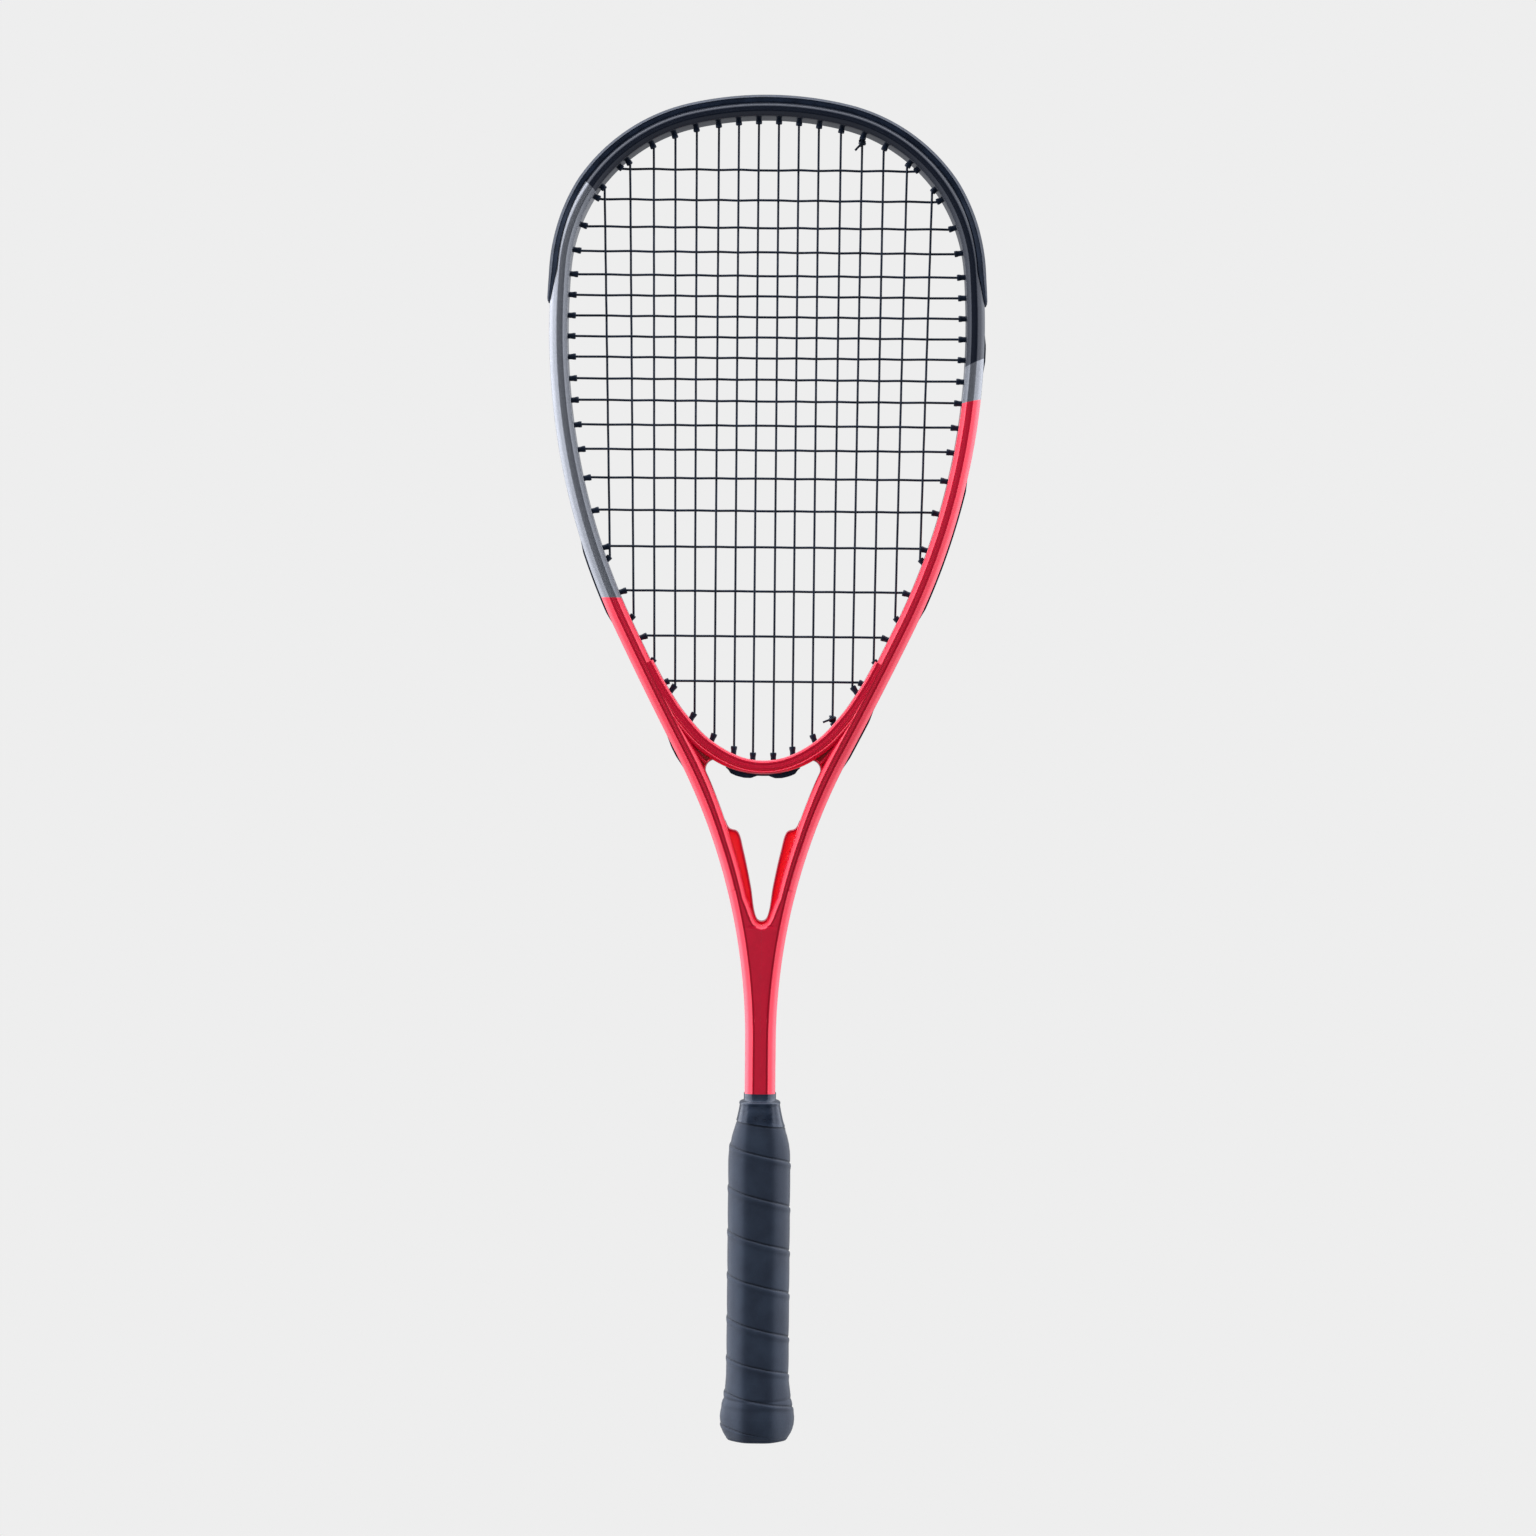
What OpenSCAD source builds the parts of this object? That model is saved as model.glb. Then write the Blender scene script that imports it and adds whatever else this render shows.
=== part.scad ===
// Squash racket: a hollow moulded frame with an open throat, its grommet strips and
// bumper guard, a woven string bed, and an eight-sided handle wound with grip tape.
// Units are millimetres. The butt end is at the origin, +Z runs up the racket, the
// string bed lies in the XZ plane and its front looks along -Y.

/* [Frame outline] */
// Overall length, from the butt end to the top of the bumper guard
length = 686; // [672:1:700]
// Widest part of the head, across the frame's outer faces
head_w = 222; // [208:1:228]
// Radius of the outer face across the top of the head
top_r = 175; // [150:1:200]
// Radius of the outer face round each shoulder
shoulder_r = 90.8; // [86:0.1:94]
// Heading at which a shoulder gives way to the long side curve, in degrees
shoulder_end = 85; // [83:1:88]
// Radius of the outer face down each side
side_r = 356; // [330:1:380]
// Steepest lean of the arms from the centre line, in degrees
arm_angle = 27.7; // [26.5:0.1:28.5]
// Angle over which each arm bows gently above that point, in degrees
arm_bow = 2; // [1.5:0.1:3]
// Radius that turns each arm into the shaft
throat_r = 315; // [300:1:330]
// Inside length of the head, from the bridge to the top
head_inside = 326.7; // [323:0.1:330]

/* [Frame section] */
// Width of the hoop's tube, in the plane of the strings
member_w = 8.8; // [8.4:0.1:9.6]
// Width of each arm's tube below the bridge
arm_w = 9.6; // [9:0.1:10]
// Depth of the frame from front to back
beam_d = 19; // [18:0.5:22]
// Width of the bevel next to the outer face
outer_bevel_w = 3.8; // [3:0.1:4]
// Depth of the bevel next to the outer face
outer_bevel_d = 4.6; // [3.6:0.1:5]
// Width of the bevel next to the inner face
inner_bevel_w = 1.8; // [1.2:0.1:2.2]
// Depth of the bevel next to the inner face
inner_bevel_d = 2.4; // [1.6:0.1:3]
// Wall of the moulded tube
wall = 1.2; // [1:0.1:1.5]
// Width of the shaft
shaft_w = 15.6; // [14.8:0.1:17]

/* [Bridge and throat] */
// Height of the bridge bar, from the strung side to the throat side
bridge_w = 7; // [6:0.1:8]
// Depth of the bridge bar from front to back
bridge_d = 16.4; // [15:0.1:17.6]
// Height of the throat's lowest point above the start of the straight shaft
crotch_rise = 60; // [56:1:64]
// Height of the webs that line the throat's lower end
fin_h = 46; // [40:1:50]
// Thickness of those webs, and of the gussets under the bridge
web_d = 9; // [7:0.5:12]
// Radius of the throat's two upper corners
throat_corner_r = 4.8; // [4:0.1:5.4]

/* [String groove and grommets] */
// Width of the groove round the outside of the hoop
groove_w = 6.4; // [6:0.1:7]
// Depth of that groove
groove_depth = 3; // [2.8:0.1:3.2]
// Thickness of the strip that lies in the groove
strip_t = 1; // [0.8:0.1:1.1]
// Outer diameter of a grommet barrel
barrel_d = 2.8; // [2.6:0.1:3]
// Bore of a grommet barrel
barrel_bore = 1.8; // [1.7:0.1:1.9]
// How far a barrel stands out of the frame's inner face
barrel_out = 2.4; // [2:0.1:2.6]
// Radial gap between a barrel and its hole in the frame
barrel_gap = 0.15; // [0.1:0.05:0.3]
// Height of the guards that cover the string on the side strips
guard_h = 0.8; // [0.5:0.1:1.2]

/* [Bumper guard] */
// How far the bumper guard stands proud of the frame's outer face
bumper_proud = 3; // [2.4:0.1:3.6]
// Reach of the bumper guard's legs down the frame's bevels
bumper_leg = 1.6; // [1:0.1:2]
// Number of cross strings whose ends pass through the bumper guard
bumper_rows = 6; // [5:1:7]
// Lean of the cut that thins the bumper guard towards its ends, in degrees
bumper_taper = 3; // [2:0.5:5]

/* [Strings] */
// String diameter
string_d = 1.25; // [1.1:0.05:1.3]
// Clearance between strings where they cross
weave_gap = 0.1; // [0.06:0.01:0.2]
// Gap from the hoop's side to the outermost main string, at the widest point
edge_main = 18.7; // [17:0.1:21]
// Gap from the bridge to the lowest cross string
low_cross = 39.5; // [36:0.5:44]
// Gap from the top of the hoop to the highest cross string
high_cross = 26; // [24:0.5:28]
// Spread of the main strings at the bridge, as a share of their spread at the top
main_fan = 0.945; // [0.925:0.005:0.96]
// Diameter of a tie-off knot
knot_d = 3.9; // [3.4:0.1:4.4]
// Height of a tie-off knot
knot_h = 2.8; // [2:0.1:3.4]
// Length of a knot's cut tail
tail_l = 6; // [4:0.5:9]

/* [Handle] */
// Width of the handle, over the grip
handle_w = 31.8; // [30:0.2:34]
// Depth of the handle, over the grip
handle_d = 27.6; // [26.5:0.2:30]
// Width of the flat on the handle's front and back
handle_flat = 15; // [13:0.2:16]
// Width of the flared butt, over the grip
butt_w = 38.8; // [36:0.2:41]
// Height at which the flare of the butt is widest
butt_widest = 11; // [9:0.5:13]
// Height at which the flare ends
butt_h = 34; // [30:1:40]
// Height over which the handle narrows to the shaft
taper_h = 32; // [28:1:38]
// How far the finishing tape reaches past the grip
tape_over = 5; // [4:0.5:8]
// Length of straight shaft left bare above the finishing tape
bare_shaft = 25.67; // [22:0.01:30]
// Width of the finishing tape
tape_w = 16; // [12:0.5:20]
// Thickness of the finishing tape
tape_t = 0.4; // [0.3:0.05:0.6]
// Thickness of the grip tape
grip_t = 1.8; // [1.5:0.1:2.2]
// Distance from one turn of grip tape to the next, along the handle
grip_pitch = 22.4; // [20:0.2:25]
// Open seam between two turns of grip tape
grip_seam = 0.5; // [0.45:0.05:0.9]
// Height of the butt cap's exposed end
cap_h = 2; // [1.5:0.1:3]

/* [Hidden] */
$fn = 48;
rad = PI / 180;
seat = 0.1;              // clearance between two pieces that sit on each other
cut = 1;                 // how far a cutting solid runs past what it cuts

// Gaps between the main strings at the top, from the centre outwards, the first a half
// gap, and gaps between the cross strings from the bridge up, both as shares
main_gaps = [5.1, 10.2, 10.2, 11.2, 11, 11, 12, 13];
cross_gaps = [23, 23, 22.5, 18.5, 16.5, 14.5, 12.5, 12.5, 11, 11, 10.5, 10.5, 10.5,
    10.5, 12, 12.5, 14, 15.5];
mains = len(main_gaps);
crosses = len(cross_gaps) + 1;

function sum_to(list, n) = n <= 0 ? 0 : list[n - 1] + sum_to(list, n - 1);
function unit(v) = v / norm(v);

// ---- Outline of the outer face ---------------------------------------------------
// It is a path of five arcs that starts at the top centre and runs down the right
// side. s is the length along it, its heading is measured clockwise from +X, and t is
// a distance in from the outer face. The left side is the same path with s below zero.
function facing(h) = [sin(h), cos(h)];
function tidy(v) = round(v * 100) / 100;

top_z = length - bumper_proud;
lean_end = 90 + arm_angle;
side_end = lean_end - arm_bow;
top_turn = tidy(asin((head_w / 2 - shoulder_r * sin(shoulder_end)
    - side_r * (1 - sin(shoulder_end))) / (top_r - shoulder_r)));
arm_r = tidy((head_w / 2 - shaft_w / 2 - side_r * (1 - sin(side_end))
    - throat_r * (1 - sin(lean_end))) / (sin(side_end) - sin(lean_end)));

top_c = [0, top_z - top_r];
shoulder_c = top_c + (top_r - shoulder_r) * facing(top_turn);
side_c = shoulder_c - (side_r - shoulder_r) * facing(shoulder_end);
arm_c = side_c - (arm_r - side_r) * facing(side_end);
throat_c = arm_c + (arm_r + throat_r) * facing(lean_end);

// Each arc is [centre, radius, first heading, last heading]; the last one bends the
// other way, so its radius is below zero
arcs = [[top_c, top_r, 0, top_turn], [shoulder_c, shoulder_r, top_turn, shoulder_end],
    [side_c, side_r, shoulder_end, side_end], [arm_c, arm_r, side_end, lean_end],
    [throat_c, -throat_r, lean_end, 90]];
function arc_len(k) = abs(arcs[k][1] * (arcs[k][3] - arcs[k][2])) * rad;
function start_of(k) = k == 0 ? 0 : start_of(k - 1) + arc_len(k - 1);
starts = [for (k = [0:len(arcs)]) start_of(k)];
path_end = starts[len(arcs)];
s_widest = starts[2] + side_r * (90 - shoulder_end) * rad;
shaft_top = throat_c[1];
shaft_half = throat_c[0] - throat_r;

function arc_at(s) = min(len(arcs) - 1, len([for (a = starts) if (a <= s) a]) - 1);
function heading_on(k, s) = arcs[k][2]
    + (s - starts[k]) / abs(arcs[k][1]) / rad * sign(arcs[k][3] - arcs[k][2]);
function heading(s) = heading_on(arc_at(s), s);
function right_pt(s, t) = let (k = arc_at(s))
    arcs[k][0] + (arcs[k][1] - t) * facing(heading_on(k, s));
function flip(p, s) = [s < 0 ? -p[0] : p[0], p[1]];
function out_pt(s, t) = flip(right_pt(abs(s), t), s);

// Length at which the path at depth t has the value v of x (axis 0) or z (axis 1),
// found by halving the span from lo to hi. Both fall along the spans it is used on,
// except x on the way up to the widest point, where rising is set.
function find(axis, v, t, lo, hi, rising = false, n = 32) = let (m = (lo + hi) / 2,
        past = rising ? right_pt(m, t)[axis] > v : right_pt(m, t)[axis] < v)
    n == 0 ? m : past ? find(axis, v, t, lo, m, rising, n - 1)
    : find(axis, v, t, m, hi, rising, n - 1);
function half_width(z, t) = right_pt(find(1, z, t, 0, path_end), t)[0];

// ---- Bridge ----------------------------------------------------------------------
// The bar's strung side is an arc that runs into both arms just under their surface,
// as deep inside them as bridge_sink. Its radius touches a circle about arm_c.
bridge_z = top_z - member_w - head_inside;
bridge_sink = 0.4;
bridge_r = let (r = arm_r - member_w + bridge_sink, dz = bridge_z - arm_c[1])
    (r * r - arm_c[0] * arm_c[0] - dz * dz) / (2 * (r + dz));
bridge_c = [0, bridge_z + bridge_r];
bridge_half = tidy(90 + atan2(bridge_c[1] - arm_c[1], bridge_c[0] - arm_c[0]));
crotch_z = shaft_top + crotch_rise;

// ---- Grommets --------------------------------------------------------------------
// A grommet is [tip, direction to the outside, s]; the string runs from tip to tip.
tip_t = member_w + barrel_out;
string_rest = 0.25;      // clearance of a string off the strip that it runs along
tie_t = groove_depth - seat - strip_t - string_d / 2 - string_rest;

// Where a line from p along d meets the path at depth t
function meet(p, d, t, lo, hi, n = 32) = let (m = (lo + hi) / 2,
        q = right_pt(m, t) - p, past = q[0] * d[1] - q[1] * d[0] > 0)
    n == 0 ? m : past ? meet(p, d, t, lo, m, n - 1) : meet(p, d, t, m, hi, n - 1);

main_x = [for (i = [1:mains]) sum_to(main_gaps, i)
    * (head_w / 2 - member_w - edge_main) / sum_to(main_gaps, mains)];
low_x = main_x * main_fan;
bridge_tip_r = bridge_r - barrel_out;
bridge_mains = len([for (x = low_x) if (x < bridge_tip_r * sin(bridge_half)) x]);
// The inner two mains on each side stay in the bridge's own strip
strip_mains = 2;

function grommet_at(s) = [right_pt(s, tip_t), facing(heading(s)), s];
function top_grommet(i) = grommet_at(find(0, main_x[i], tip_t, 0, s_widest, rising = true));
function low_grommet(i) = i >= bridge_mains
    ? grommet_at(find(0, low_x[i], tip_t, s_widest, path_end))
    : let (a = asin(low_x[i] / bridge_tip_r), d = [sin(a), -cos(a)],
        tip = bridge_c + bridge_tip_r * d)
    [tip, d, i < strip_mains ? tidy(a) : meet(tip, d, tie_t, s_widest, path_end)];
function cross_z(k) = bridge_z + low_cross + sum_to(cross_gaps, k)
    * (head_inside - low_cross - high_cross) / sum_to(cross_gaps, crosses - 1);
function side_grommet(k) = grommet_at(find(1, cross_z(k), tip_t, 0, path_end));

top_grommets = [for (i = [0:mains - 1]) top_grommet(i)];
low_grommets = [for (i = [0:mains - 1]) low_grommet(i)];
side_grommets = [for (k = [0:crosses - 1]) side_grommet(k)];

// The bumper holds the grommets above its ends, and the side strips those below
strip_rows = crosses - bumper_rows;
strip_crosses = [for (k = [0:strip_rows - 1]) side_grommets[k]];
bumper_crosses = [for (k = [strip_rows:crosses - 1]) side_grommets[k]];
end_gap = 2;             // open groove between the bumper guard and each side strip
bumper_end_s = (side_grommets[strip_rows][2] + side_grommets[strip_rows - 1][2] - end_gap) / 2;
arm_grommets = [for (i = [strip_mains:mains - 1]) low_grommets[i]];

// ---- Solids along the outline ----------------------------------------------------
// Lays an XZ drawing flat: [x, z] of the racket becomes [x, y] of a 2D shape
module stand() rotate([90, 0, 0]) children();
module both_sides() {
    children();
    mirror([1, 0, 0]) children();
}
// Moves in three steps, whole, thousandths and the rest, so that arcs meet exactly
module place(p) let (a = [floor(p[0]), floor(p[1])],
        b = [round((p[0] - a[0]) * 1000) / 1000, round((p[1] - a[1]) * 1000) / 1000])
    translate([a[0], 0, a[1]]) translate([b[0], 0, b[1]])
        translate([p[0] - a[0] - b[0], 0, p[1] - a[1] - b[1]]) children();
// A section of [t, depth] points swept along arc k between two headings
module bend(k, h0, h1, section) let (r = arcs[k][1], last = max(h0, h1),
        turn = abs(h1 - h0), from = (r > 0 ? 90 : 270) - last)
    place(arcs[k][0]) stand() rotate_extrude(angle = turn, start = from,
        $fn = 180 * ceil(abs(r) / 400))
        polygon([for (p = section) [abs(r - p[0]), p[1]]]);
// A section swept along the right side, from length s0 to s1 of the outline. A key
// inside it, round depth core, runs across each joint of two arcs and holds them.
module sweep_right(s0, s1, section, core) for (k = [0:len(arcs) - 1])
    if (starts[k + 1] > s0 + 0.01 && starts[k] < s1 - 0.01) {
        bend(k, s0 > starts[k] + 0.01 ? tidy(heading_on(k, s0)) : arcs[k][2],
            s1 < starts[k + 1] - 0.01 ? tidy(heading_on(k, s1)) : arcs[k][3], section);
        if (k > 0 && starts[k] > s0 + 1) key(starts[k], core);
    }
key_t = 0.2;
module key(s, t) let (k = arc_at(s), h = heading(s), turn = 0.6 / abs(arcs[k][1]) / rad,
        wide = half_groove - rim)
    bend(k, tidy(h - turn), tidy(h + turn),
        [[t - key_t, -wide], [t - key_t, wide], [t + key_t, wide], [t + key_t, -wide]]);

// A cylinder along a grommet's axis, from d0 to d1 beyond its tip
module along(g, d0, d1, d) translate([g[0][0], 0, g[0][1]])
    rotate([0, atan2(g[1][0], g[1][1]), 0]) translate([0, 0, d0]) cylinder(d1 - d0, d = d);

// ---- Sections --------------------------------------------------------------------
face = beam_d / 2;
side_d = face - outer_bevel_d;
lip_d = face - inner_bevel_d;
half_groove = groove_w / 2;
function mirrored(pts) = concat(pts,
    [for (i = [len(pts) - 1:-1:0]) [pts[i][0], -pts[i][1]]]);
function tube_section(w) = mirrored([[0, side_d], [outer_bevel_w, face],
    [w - inner_bevel_w, face], [w, lip_d]]);
function cavity_section(t0, w) = mirrored([[t0, t0 < outer_bevel_w ? side_d - wall / 2
    : face - wall], [max(t0, outer_bevel_w) + wall / 4, face - wall],
    [w - wall - inner_bevel_w / 2, face - wall], [w - wall, lip_d - wall / 2]]);
function grooved(w) = concat([[groove_depth, -half_groove], [groove_depth, half_groove],
    [0, half_groove]], tube_section(w), [[0, -half_groove]]);
hoop_section = grooved(member_w);
groove_section = grooved(arm_w);

// ---- Frame -----------------------------------------------------------------------
groove_end = starts[4] + 4 * throat_r * rad;

module bridge_arc(a0, a1, section) place(bridge_c) stand()
    rotate_extrude(angle = a1 - a0, start = 270 + a0, $fn = 180)
        polygon([for (p = section) [tidy(bridge_r) + p[0], p[1]]]);
// Where the bar sinks into the arms it thins to bridge_end_w, clear of their groove
bridge_end_w = tidy(0.7 * (member_w - groove_depth));
bridge_full = bridge_half - tidy(acos(1 - max(0.05,
    bridge_sink + bridge_w - member_w + groove_depth + 0.6) / (bridge_r + bridge_w)));
module bridge_bar() let (deep = bridge_d / 2, edge = [[0, deep - inner_bevel_d],
        [inner_bevel_w, deep]], thin = mirrored(concat(edge, [[bridge_end_w, deep]]))) {
    bridge_arc(-bridge_full, bridge_full, mirrored(concat(edge,
        [[bridge_w - inner_bevel_w, deep], [bridge_w, deep - inner_bevel_d]])));
    bridge_arc(bridge_full, bridge_half, thin);
    bridge_arc(-bridge_half, -bridge_full, thin);
}

// The straight shaft is the foot of both arms, with a spine that fills the fork
// between them flush with their faces
module shaft_bar() let (spine_t = (outer_bevel_w + arm_w - inner_bevel_w) / 2,
        right = [for (i = [0:8]) let (z = shaft_top + i * (crotch_rise - 2) / 8)
            [half_width(z, spine_t), z]]) {
    both_sides() place([shaft_half, 0]) translate([0, 0, shaft_foot])
        linear_extrude(shaft_top - shaft_foot)
            polygon([for (p = tube_section(arm_w)) [-p[0], p[1]]]);
    stand() linear_extrude(beam_d, center = true) polygon(concat(
        [[-right[0][0], shaft_foot], [right[0][0], shaft_foot]], right,
        [for (i = [8:-1:0]) [-right[i][0], right[i][1]]]));
}

// Thin webs that line the lower end of the throat, as [half width, height above the
// crotch] of their inner edge
fin_edge = [[0, 1.6], [2.2, 2.4], [3.4, 4], [4, 7], [5.2, 18], [7.2, 28], [10.8, 42],
    [11.9, 44.6], [13.6, 46]];
module fins() let (rise = fin_h / 46, bury = arm_w - inner_bevel_w - 1,
        inner = [for (p = fin_edge) [p[0], crotch_z + p[1] * rise]],
        outer = [for (i = [6:-1:0]) let (z = crotch_z - 6 + i * (fin_h + 6) / 6)
            [half_width(z, bury), z]],
        right = concat(inner, outer))
    stand() linear_extrude(web_d, center = true) polygon(concat(right,
        [for (i = [len(right) - 1:-1:1]) [-right[i][0], right[i][1]]]));

// Web in each upper corner of the throat, with the corner's radius cut out of it
module gusset() let (zc = bridge_z - throat_corner_r - 1,
        xc = half_width(zc, arm_w) - throat_corner_r / cos(arm_angle))
    stand() linear_extrude(web_d, center = true) difference() {
        polygon([[xc - 4, zc + throat_corner_r - 1], [xc - 4, bridge_z + 2],
            [xc + 12, bridge_z + 16], [half_width(bridge_z + 8, arm_w / 2), bridge_z + 8],
            [half_width(zc - 3, arm_w / 2), zc - 3], [xc, zc - 3]]);
        translate([xc, zc]) circle(throat_corner_r);
        translate([xc - 8, zc - 6]) square([8, 5 + throat_corner_r]);
        translate([xc - 8, zc - 6]) square([8 + throat_corner_r, 6]);
    }

// The two tubes run side by side down the shaft, with a wall between them
module cavities() {
    difference() {
        union() {
            sweep_right(0, starts[4], cavity_section(groove_depth + wall, member_w),
                member_w / 2 + 1);
            sweep_right(groove_end, path_end, cavity_section(wall, arm_w), arm_w / 2);
        }
        translate([-shaft_w, -beam_d, 0])
            cube([shaft_w + wall / 2, 2 * beam_d, crotch_z + crotch_rise]);
    }
    translate([wall / 2, 0, -cut]) linear_extrude(shaft_top + cut) polygon([
        [0, -face + wall], [shaft_w / 2 - outer_bevel_w - wall / 2, -face + wall],
        [shaft_w / 2 - 1.5 * wall, -side_d], [shaft_w / 2 - 1.5 * wall, side_d],
        [shaft_w / 2 - outer_bevel_w - wall / 2, face - wall], [0, face - wall]]);
}

shaft_foot = 8;
module frame() color("crimson") difference() {
    union() {
        both_sides() {
            sweep_right(0, starts[4], hoop_section, groove_depth + wall / 2);
            sweep_right(starts[4], groove_end, groove_section, groove_depth + wall / 2);
            sweep_right(groove_end, path_end, tube_section(arm_w), wall);
            key(starts[4], groove_depth + wall / 2);
            gusset();
        }
        key(0, groove_depth + wall / 2);
        fins();
        bridge_bar();
        shaft_bar();
    }
    both_sides() {
        cavities();
        holes(concat(top_grommets, side_grommets), member_w - groove_depth);
        for (g = low_grommets) along(g, -cut, reach(g) + member_w,
            barrel_d + 2 * barrel_gap);
    }
}
module holes(list, depth) for (g = list)
    along(g, cut, barrel_out + depth + 2 * cut, barrel_d + 2 * barrel_gap);

// ---- Grommet strips and bumper guard ----------------------------------------------
strip_in = groove_depth - seat;          // depth of the strip's face on the groove floor
strip_out = strip_in - strip_t;          // depth of its outer face
half_strip = half_groove - seat;

module barrels(list) for (g = list)
    along(g, 0, barrel_out + member_w - strip_in + strip_t / 2, barrel_d);
module bores(list) for (g = list)
    along(g, -cut, barrel_out + member_w - strip_out + cut, barrel_bore);

// A strip is a channel: a base on the groove's floor and a rim up each side
rim = 0.9;
strip_section = [[strip_in, -half_strip], [strip_in, half_strip],
    [seat, half_strip], [seat, half_strip - rim], [strip_out, half_strip - rim],
    [strip_out, rim - half_strip], [seat, rim - half_strip], [seat, -half_strip]];
// A guard stands on one rim, on the side of the groove that side gives
function guard_section(side) = [for (p = [[-guard_h, rim - seat], [-guard_h, seat],
    [strip_in - seat, seat], [strip_in - seat, rim - seat]]) [p[0], side * (half_strip - p[1])]];

strip_start = bumper_end_s + end_gap;
strip_end = groove_end - 1;
// Places along the side strips that have guards, as [from, to] in shares
left_guards = [[0.467, 0.631], [0.882, 0.942]];
right_guards = [[0.052, 0.121], [0.337, 0.618], [0.822, 0.942]];
function on_strip(u) = strip_start + (strip_end - strip_start) * u;
module side_strip(guards) difference() {
    union() {
        sweep_right(strip_start, strip_end, strip_section, strip_in - strip_t / 2);
        for (g = guards) for (side = [-1, 1]) sweep_right(on_strip(g[0]), on_strip(g[1]),
            guard_section(side), strip_in - strip_t / 2);
        barrels(strip_crosses);
        for (g = arm_grommets) along(g, 0, reach(g), barrel_d);
    }
    bores(strip_crosses);
    for (g = arm_grommets) along(g, -cut, reach(g) + 4, barrel_bore);
}
// Length of a grommet from its tip to the middle of the strip it belongs to
function reach(g) = norm(right_pt(g[2], tie_t) - g[0])
    - (strip_in - strip_t / 2 - tie_t) / (g[1] * facing(heading(g[2])));

module left_grommet_strip() color("#1b212c") mirror([1, 0, 0]) side_strip(left_guards);
module right_grommet_strip() color("#1b212c") side_strip(right_guards);

// The bumper lines the groove, stands proud beside it and folds over the bevels
bevel_slope = outer_bevel_d / outer_bevel_w;
channel = half_strip - rim;
bumper_half = concat([[strip_in, half_strip], [-seat, half_strip], [-seat, side_d],
    [bumper_leg, side_d + (bumper_leg + 2 * seat) * bevel_slope],
    [bumper_leg - 0.5, side_d + (bumper_leg + 2 * seat) * bevel_slope + 0.8],
    [-bumper_proud + 1.4, side_d + 1.2], [-bumper_proud + 0.4, side_d],
    [-bumper_proud, side_d - 0.9], [-bumper_proud, channel + 0.4],
    [-bumper_proud + 0.4, channel], [strip_out, channel]]);
bumper_section = concat(bumper_half,
    [for (i = [len(bumper_half) - 1:-1:0]) [bumper_half[i][0], -bumper_half[i][1]]]);
module bumper_guard() color("#1b212c") difference() {
    union() {
        both_sides() sweep_right(0, bumper_end_s, bumper_section, strip_in - strip_t / 2);
        key(0, strip_in - strip_t / 2);
        both_sides() barrels(concat(top_grommets, bumper_crosses));
    }
    both_sides() {
        bores(concat(top_grommets, bumper_crosses));
        // Each end thins out towards the frame
        let (p = right_pt(bumper_end_s, -0.6)) translate([p[0], 0, p[1]])
            rotate([0, bumper_taper, 0]) translate([0, -beam_d, -beam_d])
                cube([beam_d, 2 * beam_d, 4 * beam_d]);
    }
}

// The bridge's strip hangs under the bar, with a hump over each of its two strings
hump_h = 2.6;
function at_bridge(a, r) = bridge_c + r * [sin(a), -cos(a)];
function hump_section(channel_r, top) = [[bridge_w + seat, -half_groove],
    [bridge_w + seat, half_groove], [top, half_groove], [top, channel],
    [channel_r, channel], [channel_r, -channel], [top, -channel], [top, -half_groove]];
module bridge_grommet_strip() color("#1b212c") let (a = low_grommets[0], b = low_grommets[1],
        r0 = bridge_w + seat + strip_t, low = hump_section(r0, r0 + 0.3),
        high = hump_section(r0, r0 - strip_t + hump_h), h0 = a[2] - 1.6, h1 = b[2] + 1.6)
    difference() {
        union() {
            bridge_arc(-h0, h0, low);
            both_sides() {
                bridge_arc(h0, h1, high);
                bridge_arc(h1, h1 + 2.6, low);
                for (q = [a, b])
                    along(q, 0, barrel_out + bridge_w + seat + strip_t / 2, barrel_d);
            }
        }
        both_sides() for (q = [a, b])
            along(q, -cut, barrel_out + bridge_w + strip_t + 2 * cut, barrel_bore);
    }

// ---- Strings -----------------------------------------------------------------------
// A round tube through a list of points, which lie near a plane with normal across
module string_tube(path, across, sides = 6) {
    n = len(path);
    rings = [for (i = [0:n - 1]) let (
            a = unit(path[max(i, 1)] - path[max(i, 1) - 1]),
            b = unit(path[min(i, n - 2) + 1] - path[min(i, n - 2)]),
            t = unit(a + b), u = unit(cross(t, across)) / max(0.5, t * a),
            v = unit(across - (across * t) * t))
        for (k = [0:sides - 1]) let (q = 360 * (k + 0.5) / sides)
            path[i] + string_d / 2 * (cos(q) * u + sin(q) * v)];
    function at(i, k) = i * sides + k % sides;
    polyhedron(rings, concat(
        [for (i = [0:n - 2]) for (k = [0:sides - 1]) each
            [[at(i, k), at(i, k + 1), at(i + 1, k)],
             [at(i, k + 1), at(i + 1, k + 1), at(i + 1, k)]]],
        [for (k = [1:sides - 2]) [at(0, 0), at(0, k + 1), at(0, k)]],
        [for (k = [1:sides - 2]) [at(n - 1, 0), at(n - 1, k), at(n - 1, k + 1)]]));
}

// How far a string stops short of a grommet's tip, where its next length bends off
function setback(dir, g) = let (c = dir * g[1])
    string_d / 2 * sqrt(max(0, 1 - c * c)) / max(0.3, c) + 0.1;

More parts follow.
